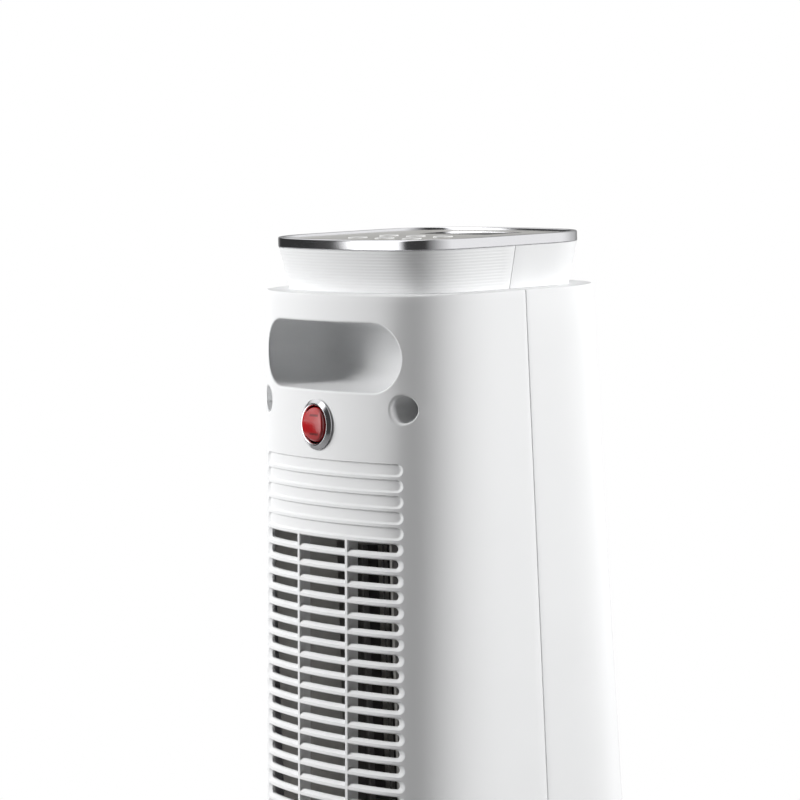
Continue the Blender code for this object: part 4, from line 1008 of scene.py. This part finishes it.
panel = Deck(panel_low, panel_top)
for x, y in button_places:
    panel.hole(circle(x, y, button_radius + panel_gap, 8), edge_drops(panel_edge))
bed = frame_loop(0, window_y, window_half_width + panel_gap, window_half_depth + panel_gap, bed_corner, 6)
bed_support = 0.0001
bed_drops = edge_drops(panel_edge, 3, bed_support) + [(0.0, bed_depth), (bed_step, bed_depth)]
panel.hole(bed, bed_drops, bed_step)
edges = [crown_ring(panel.shape, panel_inset + inset, panel_top - drop) for inset, drop in panel_rounding]
edges.append(crown_ring(panel.shape, panel_inset, panel_low))
chain(panel.shape, edges)
panel.fill(panel.sunk, ([tuple(v.co.xy) for v in edges[0]], edges[0]), panel.outer_holes, [])
panel.fill(panel.inner, ([tuple(v.co.xy) for v in edges[-1]], edges[-1]), panel.inner_holes, [])
for x in (-post_x, post_x):
    for y in (-post_y, post_y):
        made = bmesh.ops.create_cone(panel.shape, cap_ends=True, segments=20, radius1=post_radius,
                                     radius2=post_radius, depth=post_length)["verts"]
        bmesh.ops.translate(panel.shape, vec=(x, y, panel_low + post_sink - post_length / 2), verts=made)
grey_panel = moulded("grey_panel", (0.56, 0.55, 0.525), 0.34, 0.000008, 0.0004, {
    "Coat Weight": 0.25, "Coat Roughness": 0.2})
fit("panel_deck", panel.shape, grey_panel, "tower", ["control_panel"])


# Display window: a smoked acrylic pane, 50 by 22 mm, laid in the panel's bed over the display.
# Its edge is polished to a small bevel.
pane_corner = 0.0012
pane_edge = ((-0.0004, 0.0), (-0.00012, 0.00012), (0, 0.0004), (0, 0.0012))
pane_loop = frame_loop(0, window_y, window_half_width, window_half_depth, pane_corner, 6)
pane = bmesh.new()
rows = [[pane.verts.new((x, y, panel_top - drop)) for x, y in pane_loop(grow)] for grow, drop in pane_edge]
chain(pane, rows)
pane.faces.new(rows[0])
pane.faces.new(rows[-1])
smoked = Finish("smoked_acrylic", (0.012, 0.013, 0.015), 0.05, 0.0, {
    "Coat Weight": 1.0, "Coat Roughness": 0.02})
smoked.set("Roughness", 0.04 + smoked.noise(0.01) * 0.05)
fit("display_pane", pane, smoked, "tower", ["display_window"])


# Push buttons: six white caps with a slightly domed top, guided in the panel over their tact switches.
# Each has a flange under the panel that stops it from coming out.
button_white = moulded("button_white", (0.8, 0.8, 0.79), 0.32, 0.000008, 0.0004)
cap_top = panel_top + 0.0008
cap_dome = ((0, 0.0), (0.0016, 0.00003), (0.003, 0.00012), (button_radius, 0.0003))
cap_edge = 0.0005
flange_radius = 0.006
flange_top = panel_low - 0.0003
flange_foot = flange_top - 0.001
flange_edge = 0.0002
stem_radius = 0.0018
stem_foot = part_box("power_button")[0].z
profile = [(radius, cap_top - drop) for radius, drop in cap_dome]
profile += [(button_radius, flange_top), (flange_radius, flange_top), (flange_radius, flange_foot),
            (stem_radius, flange_foot), (stem_radius, stem_foot), (0, stem_foot)]
profile = eased(profile, (0, 0, 0, cap_edge, 0, flange_edge, flange_edge, 0, flange_edge, 0))
for name, (x, y) in zip(("power", "mode", "timer", "swing", "warmer", "cooler"), button_places):
    place = Matrix.Translation((x, y, 0))
    cap = turned(profile, 40)
    fit(f"{name}_cap", cap, button_white, f"{name}_button", [f"{name}_button"], place)


# Studio: a pale floor disc under the heater, and a surround whose bright and dark stretches show in the
# chrome. Three soft boxes stand round it, so that the corner between two of them falls off to grey.
floor_radius = 1.3
floor_shape = bmesh.new()
bmesh.ops.create_circle(floor_shape, cap_ends=True, segments=96, radius=floor_radius)
floor_mesh = bpy.data.meshes.new("studio_floor")
floor_shape.to_mesh(floor_mesh)
floor_shape.free()
floor = add("studio_floor", floor_mesh)
floor_paint = Finish("floor_paint", (0.86, 0.86, 0.86), 0.7)
floor_seen = floor_paint.node("ShaderNodeLightPath", {}, {}, "Is Camera Ray")
floor_paint.shade(floor_paint.noise(0.08, 3.0) * 0.03 + (1 - floor_seen), 0.25)
floor_mesh.materials.append(floor_paint.material)

world = bpy.data.worlds.new("studio")
bpy.context.scene.world = world
world.use_nodes = True
sky = Nodes(world.node_tree)
camera_ray, glossy_ray, clear_ray = (sky.node("ShaderNodeLightPath", {}, {}, f"Is {kind} Ray")
                                     for kind in ("Camera", "Glossy", "Transmission"))
direction = sky.node("ShaderNodeTexCoord", {}, {}, "Generated")
sky_x, sky_y, sky_z = (sky.node("ShaderNodeSeparateXYZ", {}, {0: direction}, axis) for axis in "XYZ")
round_share = sky_x.maths("ARCTAN2", sky_x * -1, sky_y) * (1 / math.tau) + 0.5
tent_levels = ((-175, 0.62), (-150, 0.3), (-110, 0.3), (-98, 0.04), (-50, 0.04), (-41, 2.6), (-26, 2.6),
               (-8, 0.05), (32, 0.05), (84, 1.0), (150, 1.0), (178, 0.62))
stops = [(bearing / 360 + 0.5, level) for bearing, level in tent_levels]
tent = sky.node("ShaderNodeValToRGB", {"stops": stops}, {0: round_share})
steep = sky.node("ShaderNodeMapRange", {"interpolation_type": "SMOOTHSTEP"}, {
    "Value": sky_x * 0.8 + abs(sky_z), "From Min": 0.95, "From Max": 1.2})
backdrop_level = 1.0
fill_level = 0.02
mirrored = sky.node("ShaderNodeMix", {}, {0: steep, 2: tent, 3: backdrop_level})
mirror_ray = glossy_ray.maths("MAXIMUM", glossy_ray, clear_ray)
unseen = sky.node("ShaderNodeMix", {}, {0: mirror_ray, 2: fill_level, 3: mirrored})
background = sky.tree.nodes["Background"].inputs
sky.feed(background["Color"], (1, 1, 1, 1))
sky.feed(background["Strength"], sky.node("ShaderNodeMix", {}, {0: camera_ray, 2: unseen, 3: backdrop_level}))

# Each lamp's bearing runs in degrees from the tower's back towards -X.
lamp_distance = 1.5
lamp_height = 0.9
lamp_rise = math.radians(20)
lamp_aim = Vector((0, 0, 0.5))
for name, bearing, width, power in (("back_lamp", -53, 0.7, 33.0), ("side_lamp", 108, 0.6, 21.5),
                                    ("front_lamp", 180, 0.6, 14.0)):
    light = bpy.data.lights.new(name, "AREA")
    light.shape = "RECTANGLE"
    light.size = width
    light.size_y = lamp_height
    light.energy = power
    turn = math.radians(bearing)
    away = Vector((-math.sin(turn), math.cos(turn), math.tan(lamp_rise))).normalized()
    lamp = add(name, light)
    lamp.location = lamp_aim + away * lamp_distance
    lamp.rotation_euler = (-away).to_track_quat("-Z", "Y").to_euler()
    lamp.visible_glossy = False


# Camera: at the photograph's place, a little above the heater's top and looking slightly down, with the
# long lens that a fit to the grille, seam and outline gave.
view_turn = 0.904466
distance = 1.649071
above_ledge = 0.092233
yaw = 0.008721
pitch = 0.087297
roll = -0.032397
focal_pixels = 3608.3
frame_pixels = 800
towards_camera = Vector((-math.sin(view_turn), math.cos(view_turn), 0))
place = towards_camera * distance + Vector((0, 0, body.ledge + above_ledge))
level = Matrix.Rotation(yaw, 3, "Z") @ -towards_camera
ahead = level * math.cos(pitch) - Vector((0, 0, math.sin(pitch)))
right = level.cross(Vector((0, 0, 1)))
above = right.cross(ahead)
rolled_right = right * math.cos(roll) + above * math.sin(roll)
rolled_above = above * math.cos(roll) - right * math.sin(roll)
camera_data = bpy.data.cameras.new("camera")
camera_data.sensor_width = 36.0
camera_data.lens = camera_data.sensor_width * focal_pixels / frame_pixels
camera_data.clip_end = 50.0
camera = add("camera", camera_data)
turn = Matrix((rolled_right, rolled_above, -ahead)).transposed().to_4x4()
camera.matrix_world = Matrix.Translation(place) @ turn
bpy.context.scene.camera = camera
bpy.context.scene.view_settings.view_transform = "Standard"
